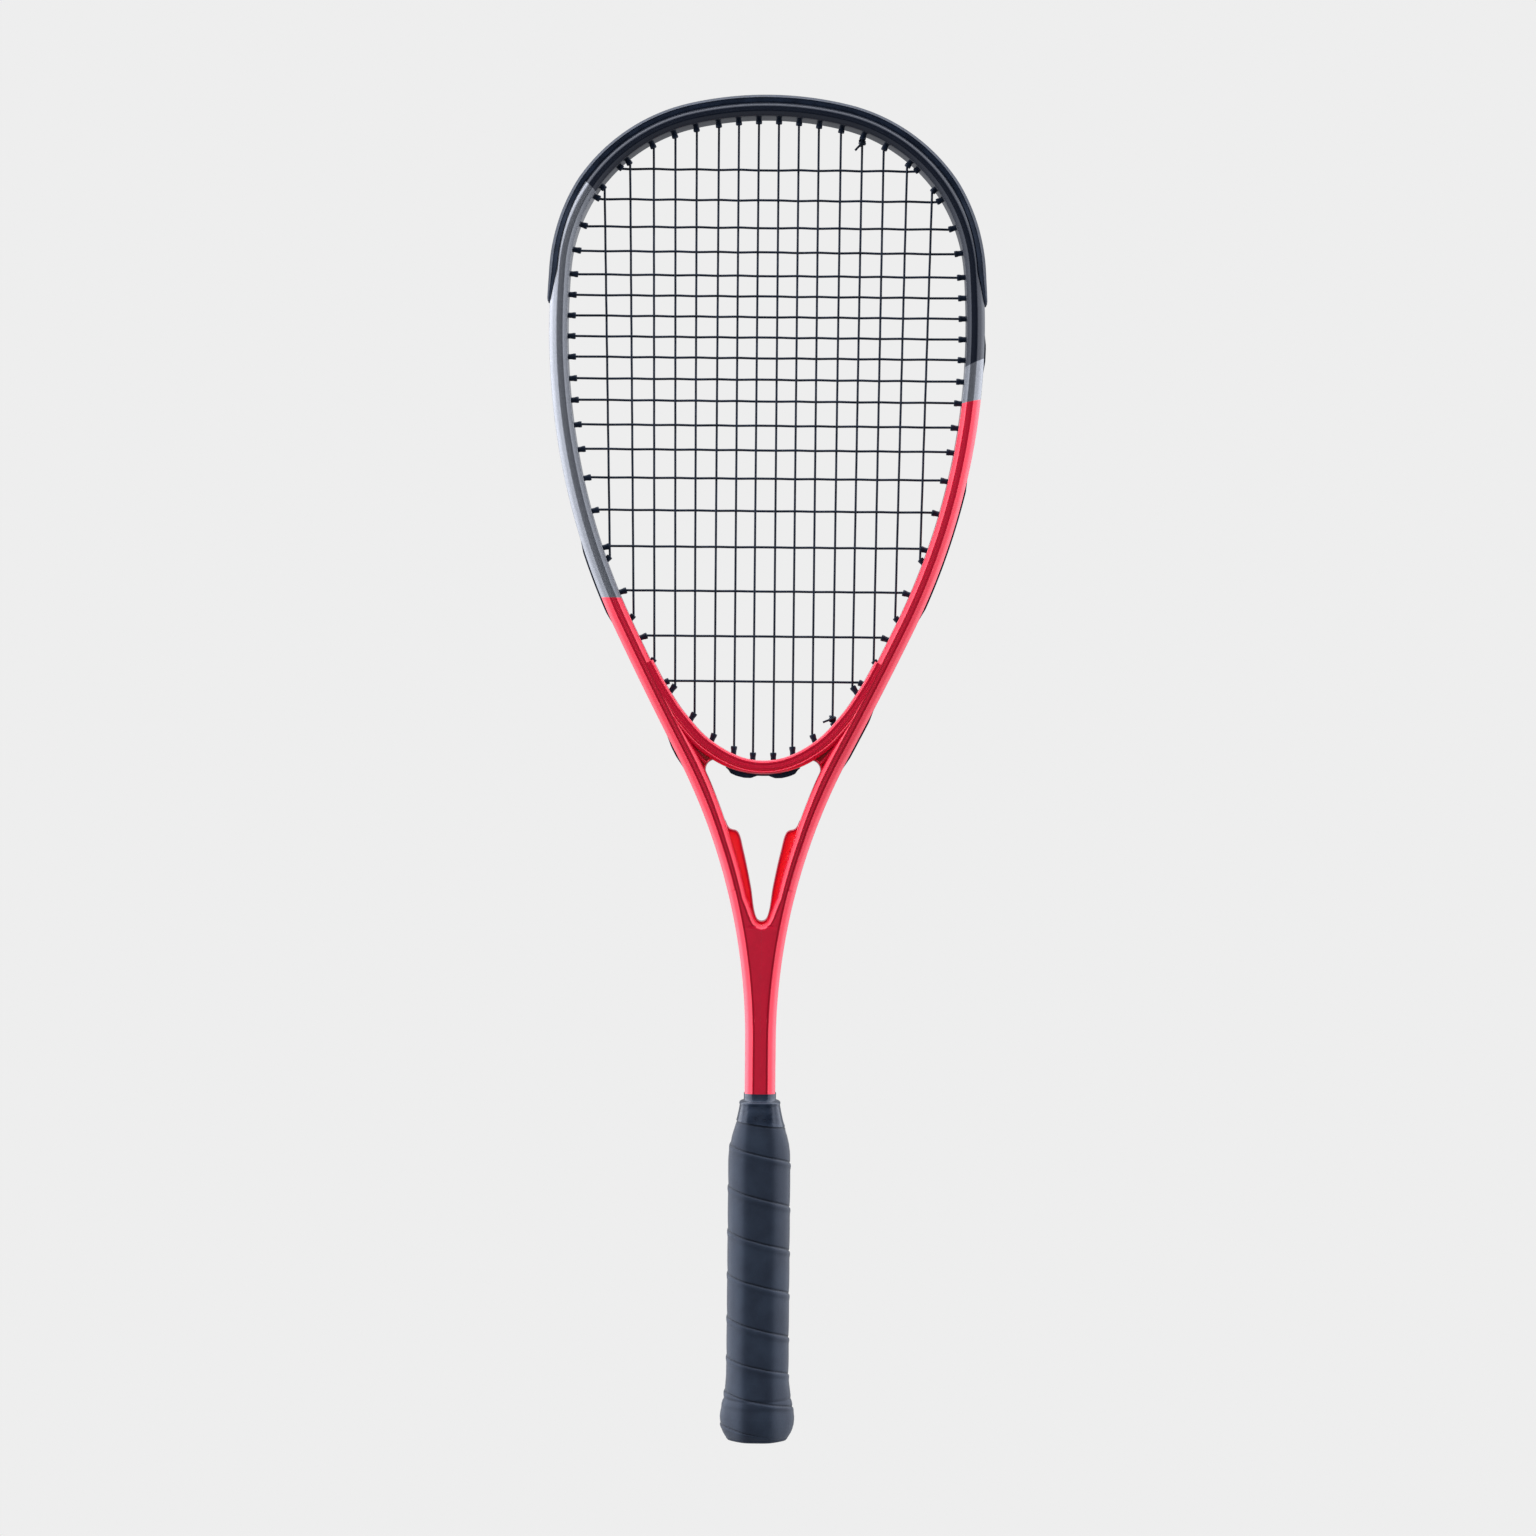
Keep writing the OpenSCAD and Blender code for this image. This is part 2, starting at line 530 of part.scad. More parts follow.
// Half width of the main string i at height z
function main_at(i, z) = let (a = low_grommets[i][0], b = top_grommets[i][0])
    a[0] + (b[0] - a[0]) * (z - a[1]) / (b[1] - a[1]);
function lies_on(i, z, tip) = z > low_grommets[i][0][1] && z < top_grommets[i][0][1]
    && main_at(i, z) < tip - 0.9;

module main_strings() color("#20252e") both_sides() for (i = [0:mains - 1]) let (
        a = low_grommets[i], b = top_grommets[i], d = b[0] - a[0], lo = setback(-unit(d), a),
        hi = setback(unit(d), b))
    translate([a[0][0], 0, a[0][1]]) rotate([0, atan2(d[0], d[1]), 0]) translate([0, 0, lo])
        cylinder(norm(d) - lo - hi, d = string_d, $fn = 16);

// Each cross string goes over one main and under the next, the other way each row
weave = string_d + weave_gap;
near = 3;                // a grommet closer to the last main than this gets a sharper bend
module cross_strings() color("#20252e") for (k = [0:crosses - 1]) let (
        z = cross_z(k), g = side_grommets[k], tip = g[0][0] - setback([1, 0], g) - 0.25,
        right = [for (i = [0:mains - 1]) if (lies_on(i, z, tip)) let (x = main_at(i, z),
            y = (i + k) % 2 == 0 ? weave : -weave) each tip - x > near ? [[x, y, z]]
                : [[x, y, z], [x + 0.7, 0.95 * y, z]]],
        left = [for (i = [len(right) - 1:-1:0]) [-right[i][0], -right[i][1], z]])
    string_tube(concat([[-tip, 0, z]], left, right, [[tip, 0, z]]), [0, 0, 1]);

// Outside the hoop the string runs along the groove from one grommet to the next. Each
// length leaves the middle of the groove for its own lane, clear of other grommets.
bend_r = 0.7;
ramp = 4;
loop_step = 13;
lane = string_d + 0.15;
function stops(far) = let (n = ceil((far - 2 * ramp) / loop_step)) n < 1
    ? [bend_r, far / 2, far - bend_r]
    : concat([bend_r], [for (i = [0:n]) ramp + (far - 2 * ramp) * i / n], [far - bend_r]);
function on_groove(s0, s1, y, t = tie_t) = let (far = abs(s1 - s0), dir = sign(s1 - s0))
    [for (d = stops(far)) let (p = out_pt(s0 + dir * d, t))
        [p[0], y * min(1, d / ramp, (far - d) / ramp), p[1]]];
function tip_of(g, side) = let (p = flip(g[0], side)) [p[0], 0, p[1]];
function mouth_of(g, side) = let (p = flip(g[0]
        + (norm(right_pt(g[2], tie_t) - g[0]) - bend_r) * g[1], side)) [p[0], 0, p[1]];
function loop_path(g, gs, h, hs, y) = concat([tip_of(g, gs), mouth_of(g, gs)],
    on_groove(gs * g[2], hs * h[2], y), [mouth_of(h, hs), tip_of(h, hs)]);
// A length that ends outside another grommet, where it goes in to be tied off
function tie_path(g, s_end, y, t) = concat([tip_of(g, 1), mouth_of(g, 1)],
    on_groove(g[2], s_end, y, t));

module loop(path) string_tube(path, [0, 1, 0], 5);
module string_loops() color("#20252e") {
    loop(loop_path(top_grommets[0], -1, top_grommets[0], 1, lane));
    for (side = [-1, 1]) {
        for (i = [1:2:mains - 2])
            loop(loop_path(top_grommets[i], side, top_grommets[i + 1], side, lane));
        for (i = [2:2:mains - 1])
            loop(loop_path(low_grommets[i], side, low_grommets[i + 1], side, lane));
        bridge_loop(side);
    }
    for (k = [crosses - 1:-2:2])
        loop(loop_path(side_grommets[k], 1, side_grommets[k - 1], 1, -lane));
    for (k = [crosses - 2:-2:1])
        loop(loop_path(side_grommets[k], -1, side_grommets[k - 1], -1, -lane));
    loop(loop_path(top_grommets[mains - 1], -1, side_grommets[crosses - 1], -1, lane));
    // The two tied ends: the last main on the right, over the others in the deep groove
    // of the bumper guard, and the lowest cross string
    loop(tie_path(top_grommets[mains - 1], top_grommets[tie_top][2] + tie_stop, 0,
        tie_t - lane));
    loop(tie_path(side_grommets[0], low_grommets[tie_low][2] - tie_stop, -lane, tie_t));
}
tie_top = 4;
tie_low = 3;
tie_stop = 3;
module bridge_loop(side) let (a = low_grommets[0], b = low_grommets[1],
        r = bridge_r + bridge_w + seat + strip_t + string_d / 2 + string_rest,
        c = bend_r / r / rad)
    loop([for (p = [a[0], at_bridge(a[2], r - bend_r), at_bridge(a[2] + c, r),
        at_bridge((a[2] + b[2]) / 2, r), at_bridge(b[2] - c, r),
        at_bridge(b[2], r - bend_r), b[0]]) [side * p[0], 0, p[1]]]);

// Each knot is tied round a main string, close to the grommet that it came through
knot_gap = 0.3;
knots = [[top_grommets[tie_top], tie_top, -1, 215],
    [low_grommets[tie_low], tie_low, 1, 195]];
module string_knots() color("#20252e") for (k = knots) let (
        z = k[0][0][1] + k[2] * (knot_h / 2 + knot_gap + barrel_d / 2 * k[0][1][0]),
        x = main_at(k[1], z))
    translate([x, 0, z]) difference() {
        union() {
            cylinder(knot_h, d = knot_d, center = true, $fn = 24);
            rotate([0, 90 - k[3], 0]) cylinder(tail_l, d = string_d, $fn = 16);
        }
        cylinder(3 * knot_h, d = string_d + 2 * seat + 0.2, center = true, $fn = 24);
    }

// ---- Handle ------------------------------------------------------------------------
// Half width and half depth over the grip, as [height, size] from the butt up
grip_rest = 0.3;         // clearance of the grip off the pallet and the butt cap
core_gap = grip_t + grip_rest;
butt_more = (butt_w - handle_w) / 2;
flare_h = 13;            // height over which most of the flare runs out
tape_top = tidy(shaft_top - bare_shaft);
grip_top = tape_top - tape_over;
taper_start = grip_top - taper_h;
neck_a = shaft_w / 2 + core_gap;
neck_b = beam_d / 2 + core_gap;
function flare(z, size) = lookup(z, [[0, size - butt_more], [cap_h, size + butt_more - 4.4],
    [cap_h + 2, size + butt_more - 2], [butt_widest - 4, size + butt_more - 0.4],
    [butt_widest, size + butt_more], [butt_widest + flare_h * 5 / 13, size + butt_more - 0.7],
    [butt_widest + flare_h * 9 / 13, size + butt_more * 0.45],
    [butt_widest + flare_h, size + butt_more * 0.25],
    [butt_h, size]]);
function taper(z, size, neck) = let (u = (z - taper_start) / taper_h)
    lookup(u, [[0, size], [0.2, size - 0.25], [0.4, size * 0.78 + neck * 0.22],
        [0.6, size * 0.52 + neck * 0.48], [0.8, size * 0.25 + neck * 0.75], [1, neck]]);
function over_a(z) = z < butt_h ? flare(z, handle_w / 2) : taper(z, handle_w / 2, neck_a);
function over_b(z) = z < butt_h ? flare(z, handle_d / 2) : taper(z, handle_d / 2, neck_b);
function over_c(z) = let (k = (over_a(z) - neck_a) / (handle_w / 2 - neck_a))
    (over_b(z) + handle_flat / 2 * (0.75 + 0.25 * min(1, k))) / sqrt(2);

// Directions round the handle, through its eight corners and the shaft's
corner_a = atan2(handle_d / 2 + handle_flat / 2 - handle_w / 2, handle_w / 2);
corner_b = atan2(handle_d / 2, handle_flat / 2);
function all_round(quarter) = let (n = len(quarter) - 1) concat(quarter,
    [for (i = [n:-1:0]) 180 - quarter[i]], [for (a = quarter) 180 + a],
    [for (i = [n:-1:0]) 360 - quarter[i]]);
shaft_corner = atan2(side_d, shaft_half);
around = all_round([corner_a, shaft_corner, corner_b]);
collar_around = all_round([corner_a, shaft_corner, corner_b,
    atan2(face, shaft_half - outer_bevel_w)]);
sides = len(around);
// Distance from the axis to the handle's surface less inset, in direction q
function reach_to(z, q, inset) = 1 / max(abs(cos(q)) / (over_a(z) - inset),
    abs(sin(q)) / (over_b(z) - inset), abs(cos(q - 45)) / (over_c(z) - inset),
    abs(cos(q + 45)) / (over_c(z) - inset));
function ring(z, inset, dirs = around) = [for (q = dirs) let (r = reach_to(z, q, inset))
    [r * cos(q), r * sin(q), z]];
// Corners of the shaft's outline, moved out by gap
function shaft_outline(gap) = let (w = outer_bevel_w, d = outer_bevel_d, x = shaft_half + gap,
        y = face + gap, c = d * shaft_half + w * side_d + gap * norm([w, d]),
        half = [[x, (c - d * x) / w], [(c - w * y) / d, y], [(w * y - c) / d, y],
            [-x, (c - d * x) / w]])
    concat(half, [for (p = half) -p]);
function collar_ring(z, gap) = let (o = shaft_outline(gap)) [for (q = collar_around) let (
        r = 1 / max(abs(cos(q)) / o[0][0], abs(sin(q)) / o[1][1],
            (abs(cos(q)) * outer_bevel_d + abs(sin(q)) * outer_bevel_w)
            / (o[0][0] * outer_bevel_d + o[0][1] * outer_bevel_w)))
    [r * cos(q), r * sin(q), z]];

// A closed sleeve from rings that run up the outside and down the inside
module sleeve(rings) {
    n = len(rings);
    m = len(rings[0]);
    function at(i, k) = (i % n) * m + k % m;
    polyhedron([for (r = rings) each r], [for (i = [0:n - 1]) for (k = [0:m - 1]) each
        [[at(i, k), at(i + 1, k), at(i, k + 1)],
         [at(i, k + 1), at(i + 1, k), at(i + 1, k + 1)]]]);
}

cap_top = 20;
cap_t = 2;
pallet_stops = [cap_top + seat, butt_widest + flare_h, butt_h, taper_start,
    for (u = [0.2:0.2:1]) taper_start + u * taper_h - (u == 1 ? 2 : 0)];
module handle_pallet() color("#3a3f46") difference() {
    skin([for (z = pallet_stops) ring(z, core_gap)]);
    translate([0, 0, cap_top - cut]) linear_extrude(grip_top) polygon(shaft_outline(seat));
}

// The cap closes the butt below the pallet and gives the grip its flare
cap_stops = [cap_h, butt_widest - 4, butt_widest, butt_widest + flare_h * 5 / 13, cap_top];
module butt_cap() color("#232a35") {
    difference() {
        skin(concat([ring(0, 3.4), ring(0.6, 2.6), ring(cap_h - seat, 0.6)],
            [for (z = cap_stops) ring(z + (z == cap_h ? seat : 0), core_gap + 0.6)]));
        translate([0, 0, shaft_foot - 4]) linear_extrude(cap_top)
            square([shaft_w + 2 * seat + 1, beam_d + 2 * seat + 1], center = true);
    }
}
module skin(rings) {
    n = len(rings);
    m = len(rings[0]);
    function at(i, k) = i * m + k % m;
    polyhedron([for (r = rings) each r], concat(
        [for (i = [0:n - 2]) for (k = [0:m - 1]) each
            [[at(i, k), at(i + 1, k), at(i, k + 1)],
             [at(i, k + 1), at(i + 1, k), at(i + 1, k + 1)]]],
        [for (k = [1:m - 2]) [at(0, 0), at(0, k), at(0, k + 1)]],
        [for (k = [1:m - 2]) [at(n - 1, 0), at(n - 1, k + 1), at(n - 1, k)]]));
}

// The grip is one tape wound up the handle; both ends are trimmed level. A station is
// six points across the tape: its two inner edges, its two skived outer edges and
// the two lines between which it keeps its full thickness.
grip_low = cap_h + seat;
tape_wide = grip_pitch - grip_seam;
skive = 2.2;
skive_t = 0.7;
min_wide = 1.2;
grip_end = grip_top - seat;
turns = ceil((grip_end - grip_low) / grip_pitch) + 1;
function tape_low(q) = grip_low - grip_pitch + min_wide + grip_seam + grip_pitch * q / 360;
function tape_z(q) = let (z = tape_low(q)) [max(grip_low, z), min(grip_end, z + tape_wide)];
stations = [for (w = [0:turns]) for (i = [0:sides - 1]) let (q = 360 * w + around[i],
        z = tape_z(q)) if (z[1] - z[0] >= min_wide) [q, z]];
function tape_ring(st) = let (q = -st[0], lo = st[1][0], hi = st[1][1],
        e = min(skive, (hi - lo) / 4), m = hi - lo)
    [for (p = [[lo, skive_t], [lo + e, 0], [(2 * lo + hi) / 3, 0], [(lo + 2 * hi) / 3, 0],
            [hi - e, 0], [hi, skive_t]])
        let (r = reach_to(p[0], q, p[1])) [r * cos(q), r * sin(q), p[0]],
     for (u = [1:-0.25:0])
        let (z = lo + u * m, r = reach_to(z, q, grip_t)) [r * cos(q), r * sin(q), z]];
// Stations one turn apart face each other across the seam
echo(grip_least_gap = min([for (i = [0:len(stations) - 1 - sides])
    stations[i + sides][1][0] - stations[i][1][1]]));
module grip_tape() color("#2c3340") skin([for (st = stations) tape_ring(st)]);

// Finishing tape: holds the grip's upper end and laps onto the shaft. Its lower edge
// leans round the handle.
tape_lean = 2;
tape_low_z = tape_top - tape_w;
tape_rest = 0.25;        // clearance of the tape off the grip
function lean_ring(inset) = [for (q = collar_around) let (z = tape_low_z - tape_lean * cos(q),
        r = reach_to(z, q, inset)) [r * cos(q), r * sin(q), z]];
tape_out = -tape_rest - tape_t;
tape_bend = taper_start + 0.8 * taper_h;
module finishing_tape() color("#1b212c") let (z1 = grip_top + seat) {
    sleeve([lean_ring(tape_out), ring(tape_bend, tape_out, collar_around),
        ring(grip_top - 0.5, tape_out, collar_around), collar_at(z1 + tape_t, 0.3),
        collar_ring(z1 + tape_t, seat + tape_t / 2), collar_ring(z1, seat + tape_t / 2),
        collar_at(z1, 0.6), ring(grip_top - 0.5, -tape_rest, collar_around),
        ring(tape_bend, -tape_rest, collar_around), lean_ring(-tape_rest)]);
    translate([0, 0, z1]) linear_extrude(tape_top - z1) difference() {
        polygon(shaft_outline(seat + tape_t));
        polygon(shaft_outline(seat));
    }
}
function collar_at(z, inset) = [for (p = ring(grip_top, inset, collar_around)) [p[0], p[1], z]];

frame();
bumper_guard();
left_grommet_strip();
right_grommet_strip();
bridge_grommet_strip();
main_strings();
cross_strings();
string_loops();
string_knots();
handle_pallet();
butt_cap();
grip_tape();
finishing_tape();
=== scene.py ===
# Squash racket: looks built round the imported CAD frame. Lengths below are in mm.
import math

import bmesh
import bpy
import numpy as np
from mathutils import Matrix, Vector

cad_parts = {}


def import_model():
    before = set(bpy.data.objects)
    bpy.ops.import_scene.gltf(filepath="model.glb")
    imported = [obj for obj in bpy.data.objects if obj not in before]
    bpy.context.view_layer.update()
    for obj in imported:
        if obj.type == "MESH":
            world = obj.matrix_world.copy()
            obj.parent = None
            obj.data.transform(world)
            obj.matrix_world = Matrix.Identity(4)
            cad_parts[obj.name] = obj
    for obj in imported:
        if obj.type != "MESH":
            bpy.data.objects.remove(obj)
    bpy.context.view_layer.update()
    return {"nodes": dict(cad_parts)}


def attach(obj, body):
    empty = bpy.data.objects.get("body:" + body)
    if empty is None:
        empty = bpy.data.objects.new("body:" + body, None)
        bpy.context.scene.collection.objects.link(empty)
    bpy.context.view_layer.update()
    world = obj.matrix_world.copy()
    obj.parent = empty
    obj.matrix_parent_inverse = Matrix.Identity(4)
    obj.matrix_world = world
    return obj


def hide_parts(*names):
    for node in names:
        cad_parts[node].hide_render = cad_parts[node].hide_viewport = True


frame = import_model()
MM = 0.001
BODY = "root"


# ---- Outline: the same five arcs as the part, as (centre, radius, headings) ----
def sind(a):
    return np.sin(np.radians(a))


def cosd(a):
    return np.cos(np.radians(a))


def facing(h):
    return np.stack([sind(h), cosd(h)], -1)


TOP_Z = 683.0
TOP_R, SHOULDER_R, SIDE_R, ARM_R, THROAT_R = 175, 90.8, 356, 2032.88, 315
TOP_TURN, SHOULDER_END, SIDE_END, LEAN_END = 13.17, 85, 115.7, 117.7
c_top = np.array([0, TOP_Z - TOP_R])
c_shoulder = c_top + (TOP_R - SHOULDER_R) * facing(TOP_TURN)
c_side = c_shoulder - (SIDE_R - SHOULDER_R) * facing(SHOULDER_END)
c_arm = c_side - (ARM_R - SIDE_R) * facing(SIDE_END)
c_throat = c_arm + (ARM_R + THROAT_R) * facing(LEAN_END)
ARCS = [
    (c_top, TOP_R, 0, TOP_TURN),
    (c_shoulder, SHOULDER_R, TOP_TURN, SHOULDER_END),
    (c_side, SIDE_R, SHOULDER_END, SIDE_END),
    (c_arm, ARM_R, SIDE_END, LEAN_END),
    (c_throat, -THROAT_R, LEAN_END, 90),
]
STARTS = np.cumsum([0] + [abs(r * math.radians(h1 - h0)) for _, r, h0, h1 in ARCS])
SHAFT_TOP = c_throat[1]
SHAFT_HALF = c_throat[0] - THROAT_R
PATH_END = STARTS[-1]


def path(s):
    """Outer point and outward normal of the right side at length s; below the last
    arc the path runs straight down the shaft."""
    s = np.asarray(s, float)
    p = np.zeros(s.shape + (2,))
    n = np.zeros(s.shape + (2,))
    for k, (c, r, h0, h1) in enumerate(ARCS):
        last = k == len(ARCS) - 1
        m = (s >= STARTS[k] - 1e-9) & ((s < STARTS[k + 1]) | last)
        if not m.any():
            continue
        h = h0 + np.degrees((s[m] - STARTS[k]) / abs(r)) * np.sign(h1 - h0)
        if last:
            h = np.maximum(h, 90)
        n[m] = facing(h)
        p[m] = c + r * n[m]
    low = s > PATH_END
    p[low, 1] -= s[low] - PATH_END
    return p, n


def solve(f, lo, hi):
    """Where f, which rises from below zero to above it, is zero."""
    for _ in range(50):
        m = (lo + hi) / 2
        if f(m) > 0:
            hi = m
        else:
            lo = m
    return float((lo + hi) / 2)


def at_depth(s, t):
    """The point that lies t inside the path at length s."""
    p, n = path(s)
    return p - n * np.asarray(t)[..., None]


def s_at_z(z, t=0.0):
    """Length at which the line t inside the path comes down to height z."""
    return solve(lambda s: z - at_depth(s, t)[1], 0, PATH_END + 210)


def half_width(z, t):
    """Distance from the middle to the line t inside the path at height z."""
    return at_depth(s_at_z(z, t), t)[0]


# ---- Meshes ----
def add_object(name, data):
    ob = bpy.data.objects.new(name, data)
    bpy.context.scene.collection.objects.link(ob)
    return ob


def add_mesh(name, verts, faces, material, attrs=None, sharp=None):
    """A smooth mesh with a value of each attribute at each vertex. Edges where it turns
    by more than sharp degrees stay sharp."""
    me = bpy.data.meshes.new(name)
    me.from_pydata((np.asarray(verts, float) * MM).tolist(), [], [list(map(int, f)) for f in faces])
    me.update()
    for key, values in (attrs or {}).items():
        a = me.attributes.new(key, "FLOAT", "POINT")
        a.data.foreach_set("value", np.asarray(values, np.float32))
    ob = add_object(name, me)
    clean_mesh(me)
    me.polygons.foreach_set("use_smooth", [True] * len(me.polygons))
    if sharp:
        me.set_sharp_from_angle(angle=math.radians(sharp))
    me.materials.append(material)
    return ob


def clean_mesh(me):
    """Joins vertices that coincide and turns all faces outwards."""
    bm = bmesh.new()
    bm.from_mesh(me)
    bmesh.ops.remove_doubles(bm, verts=bm.verts, dist=1e-6)
    bmesh.ops.dissolve_degenerate(bm, dist=1e-7, edges=bm.edges)
    bmesh.ops.recalc_face_normals(bm, faces=bm.faces)
    bm.to_mesh(me)
    bm.free()


def grid_faces(rows, cols, close_rows=False):
    """Faces between rows of points that each run round."""
    out = []
    for i in range(rows if close_rows else rows - 1):
        j = (i + 1) % rows
        for k in range(cols):
            m = (k + 1) % cols
            out.append((i * cols + k, i * cols + m, j * cols + m, j * cols + k))
    return out


def skin_faces(rows, cols):
    """The same, with a face over each end."""
    ends = [list(range(cols))[::-1], [(rows - 1) * cols + k for k in range(cols)]]
    return grid_faces(rows, cols) + ends


def tube(points, radius, sides=10, across=(0, 1, 0)):
    """Vertices and faces of a round tube; radius may be one number or one per point."""
    p = np.asarray(points, float)
    t = np.gradient(p, axis=0)
    t /= np.linalg.norm(t, axis=1)[:, None]
    u = np.cross(t, np.asarray(across, float))
    u /= np.linalg.norm(u, axis=1)[:, None]
    v = np.cross(u, t)
    q = np.radians(360 * (np.arange(sides) + 0.5) / sides)[None, :, None]
    r = np.broadcast_to(np.asarray(radius, float), (len(p),))[:, None, None]
    rings = p[:, None] + r * (np.cos(q) * u[:, None] + np.sin(q) * v[:, None])
    return rings.reshape(-1, 3), skin_faces(len(p), sides)


class Batch:
    """Gathers the skins of one piece, from the first one's rows of points if given."""

    def __init__(self, rows=None):
        self.v, self.f, self.n = [], [], 0
        if rows:
            self.sweep(rows)

    def add(self, verts, faces):
        self.v.append(np.asarray(verts, float))
        self.f += [[i + self.n for i in f] for f in faces]
        self.n += len(verts)

    def sweep(self, rows, closed=True):
        """Adds a skin over rows of points that each run round. One that isn't closed
        stays open at its first row."""
        faces = skin_faces(len(rows), len(rows[0]))
        if not closed:
            del faces[-2]
        self.add(np.concatenate(rows), faces)

    def done(self, name, material, **more):
        return add_mesh(name, np.concatenate(self.v), self.f, material, **more)


def whole(half):
    """A closed section from its half on one side of the mid-plane, as (inward, depth)."""
    half = np.asarray(half, float)
    return np.concatenate([half, half[-2:0:-1] * [1, -1]])


def laid(sec, p, n, side=0):
    """A section's points in space, running in from p against the normal n. With a side
    of 1 or -1 they stay on that side of the middle plane."""
    x, z = (p - n * sec[:, :1]).T
    if side:
        x = side * np.maximum(x, 0)
    return np.stack([x, -sec[:, 1], z], 1)


def round_row(r, q, z):
    """A level row of points round the handle, at angles q."""
    return np.stack([r * cosd(q), r * sind(q), np.broadcast_to(z, q.shape)], 1)


def mirrored(half):
    """The line of the right side, led on from its mirror image on the left."""
    return np.vstack([half[:0:-1] * [-1, 1], half])


def arc_corner(a, b, c, radius, n):
    """Rounds the corner b between a and c with n + 1 points."""
    ab, bc = np.linalg.norm(a - b), np.linalg.norm(c - b)
    u, v = (a - b) / ab, (c - b) / bc
    half = math.acos(np.clip(u @ v, -1, 1)) / 2
    cut = min(radius / math.tan(half), 0.49 * ab, 0.49 * bc)
    w = np.arange(n + 1)[:, None] / n
    return b + u * cut * (1 - w) ** 2 + v * cut * w**2


def smooth_line(points, per):
    """A Catmull-Rom curve through points, with per steps between each two."""
    p = np.asarray(points, float)
    ext = np.vstack([2 * p[0] - p[1], p, 2 * p[-1] - p[-2]])
    out = []
    for i in range(1, len(ext) - 2):
        a, b, c, d = ext[i - 1 : i + 3]
        square, cube = 2 * a - 5 * b + 4 * c - d, 3 * b - a - 3 * c + d
        for u in np.arange(per) / per:
            out.append(0.5 * (2 * b + (c - a) * u + square * u**2 + cube * u**3))
    out.append(p[-1])
    return np.array(out)


def normals(line):
    """Unit normals to the right of a line's direction of travel."""
    t = np.gradient(line, axis=0)
    t /= np.linalg.norm(t, axis=1)[:, None]
    return np.stack([t[:, 1], -t[:, 0]], 1)


# ---- Materials ----
def srgb(hex_code):
    h = hex_code.lstrip("#")
    c = [int(h[i : i + 2], 16) / 255 for i in (0, 2, 4)]
    return tuple(x / 12.92 if x < 0.04045 else ((x + 0.055) / 1.055) ** 2.4 for x in c)


# Tints of the highlights on plastics and strings, and on the grip and its tape
COOL, PALE_COOL = "#C4D4F0", "#CCD8F0"


class Nodes:
    """Short calls for building a shader."""

    def __init__(self, owner):
        owner.use_nodes = True
        self.owner = owner
        self.tree = owner.node_tree
        self.bsdf = self.tree.nodes.get("Principled BSDF")

    def node(self, kind, *values, **settings):
        """A new node, with values or links on its first sockets."""
        n = self.tree.nodes.new("ShaderNode" + kind)
        for k, v in settings.items():
            setattr(n, k, v)
        for i, x in enumerate(values):
            self.put(n.inputs[i], x)
        return n

    def put(self, socket, value):
        """Links the socket to another's output, or sets its number, RGB or hex colour."""
        if isinstance(value, bpy.types.NodeSocket):
            self.tree.links.new(value, socket)
            return
        if isinstance(value, str):
            value = srgb(value)
        if socket.type == "RGBA":
            value = (*value, 1)
        socket.default_value = value

    def math(self, op, a, b=0.0, c=0.0):
        return self.node("Math", a, b, c, operation=op).outputs[0]

    def times(self, a, b):
        return self.math("MULTIPLY", a, b)

    def mix(self, fac, a, b, mode="MIX"):
        n = self.node("Mix", data_type="RGBA", blend_type=mode)
        for i, x in ((0, fac), (6, a), (7, b)):
            self.put(n.inputs[i], x)
        return n.outputs[2]

    def span(self, value, lo, hi, a=0.0, b=1.0):
        """a where the value is lo, b where it is hi, and an even curve between."""
        return self.node("MapRange", value, lo, hi, a, b, interpolation_type="SMOOTHSTEP").outputs[0]

    def peak(self, value, middle, half):
        """1 where value is at middle, falling to 0 over half on both sides."""
        return self.span(self.math("ABSOLUTE", self.math("SUBTRACT", value, middle)), 0.0, half, 1.0, 0.0)

    def set(self, node, **values):
        for k, v in values.items():
            self.put(node.inputs[k.replace("_", " ")], v)
        return node

    def shade(self, **values):
        self.set(self.bsdf, **values)

    def coords(self):
        return self.node("TexCoord").outputs["Object"]

    def noise(self, vec, scale, detail, distortion=0.0):
        n = self.node("TexNoise", vec)
        return self.set(n, Scale=scale, Detail=detail, Distortion=distortion).outputs["Fac"]

    def cells(self, vec, scale):
        return self.set(self.node("TexVoronoi", vec), Scale=scale)

    def attr(self, name):
        return self.node("Attribute", attribute_name=name).outputs["Fac"]

    def bump(self, height, strength, distance):
        """distance is in metres."""
        n = self.set(self.node("Bump"), Strength=strength, Distance=distance, Height=height)
        self.shade(Normal=n.outputs[0])


def new_material(name):
    return Nodes(bpy.data.materials.new(name))


# Depths of the lines where the flat face meets its bevels, from the outer face and
# from the inner edge, and the lengths between which their painted shade comes up down the hoop
OUTER_CREASE, INNER_CREASE = 4.5, 3.1
CREASE_FROM, CREASE_TO = 250.0, 420.0


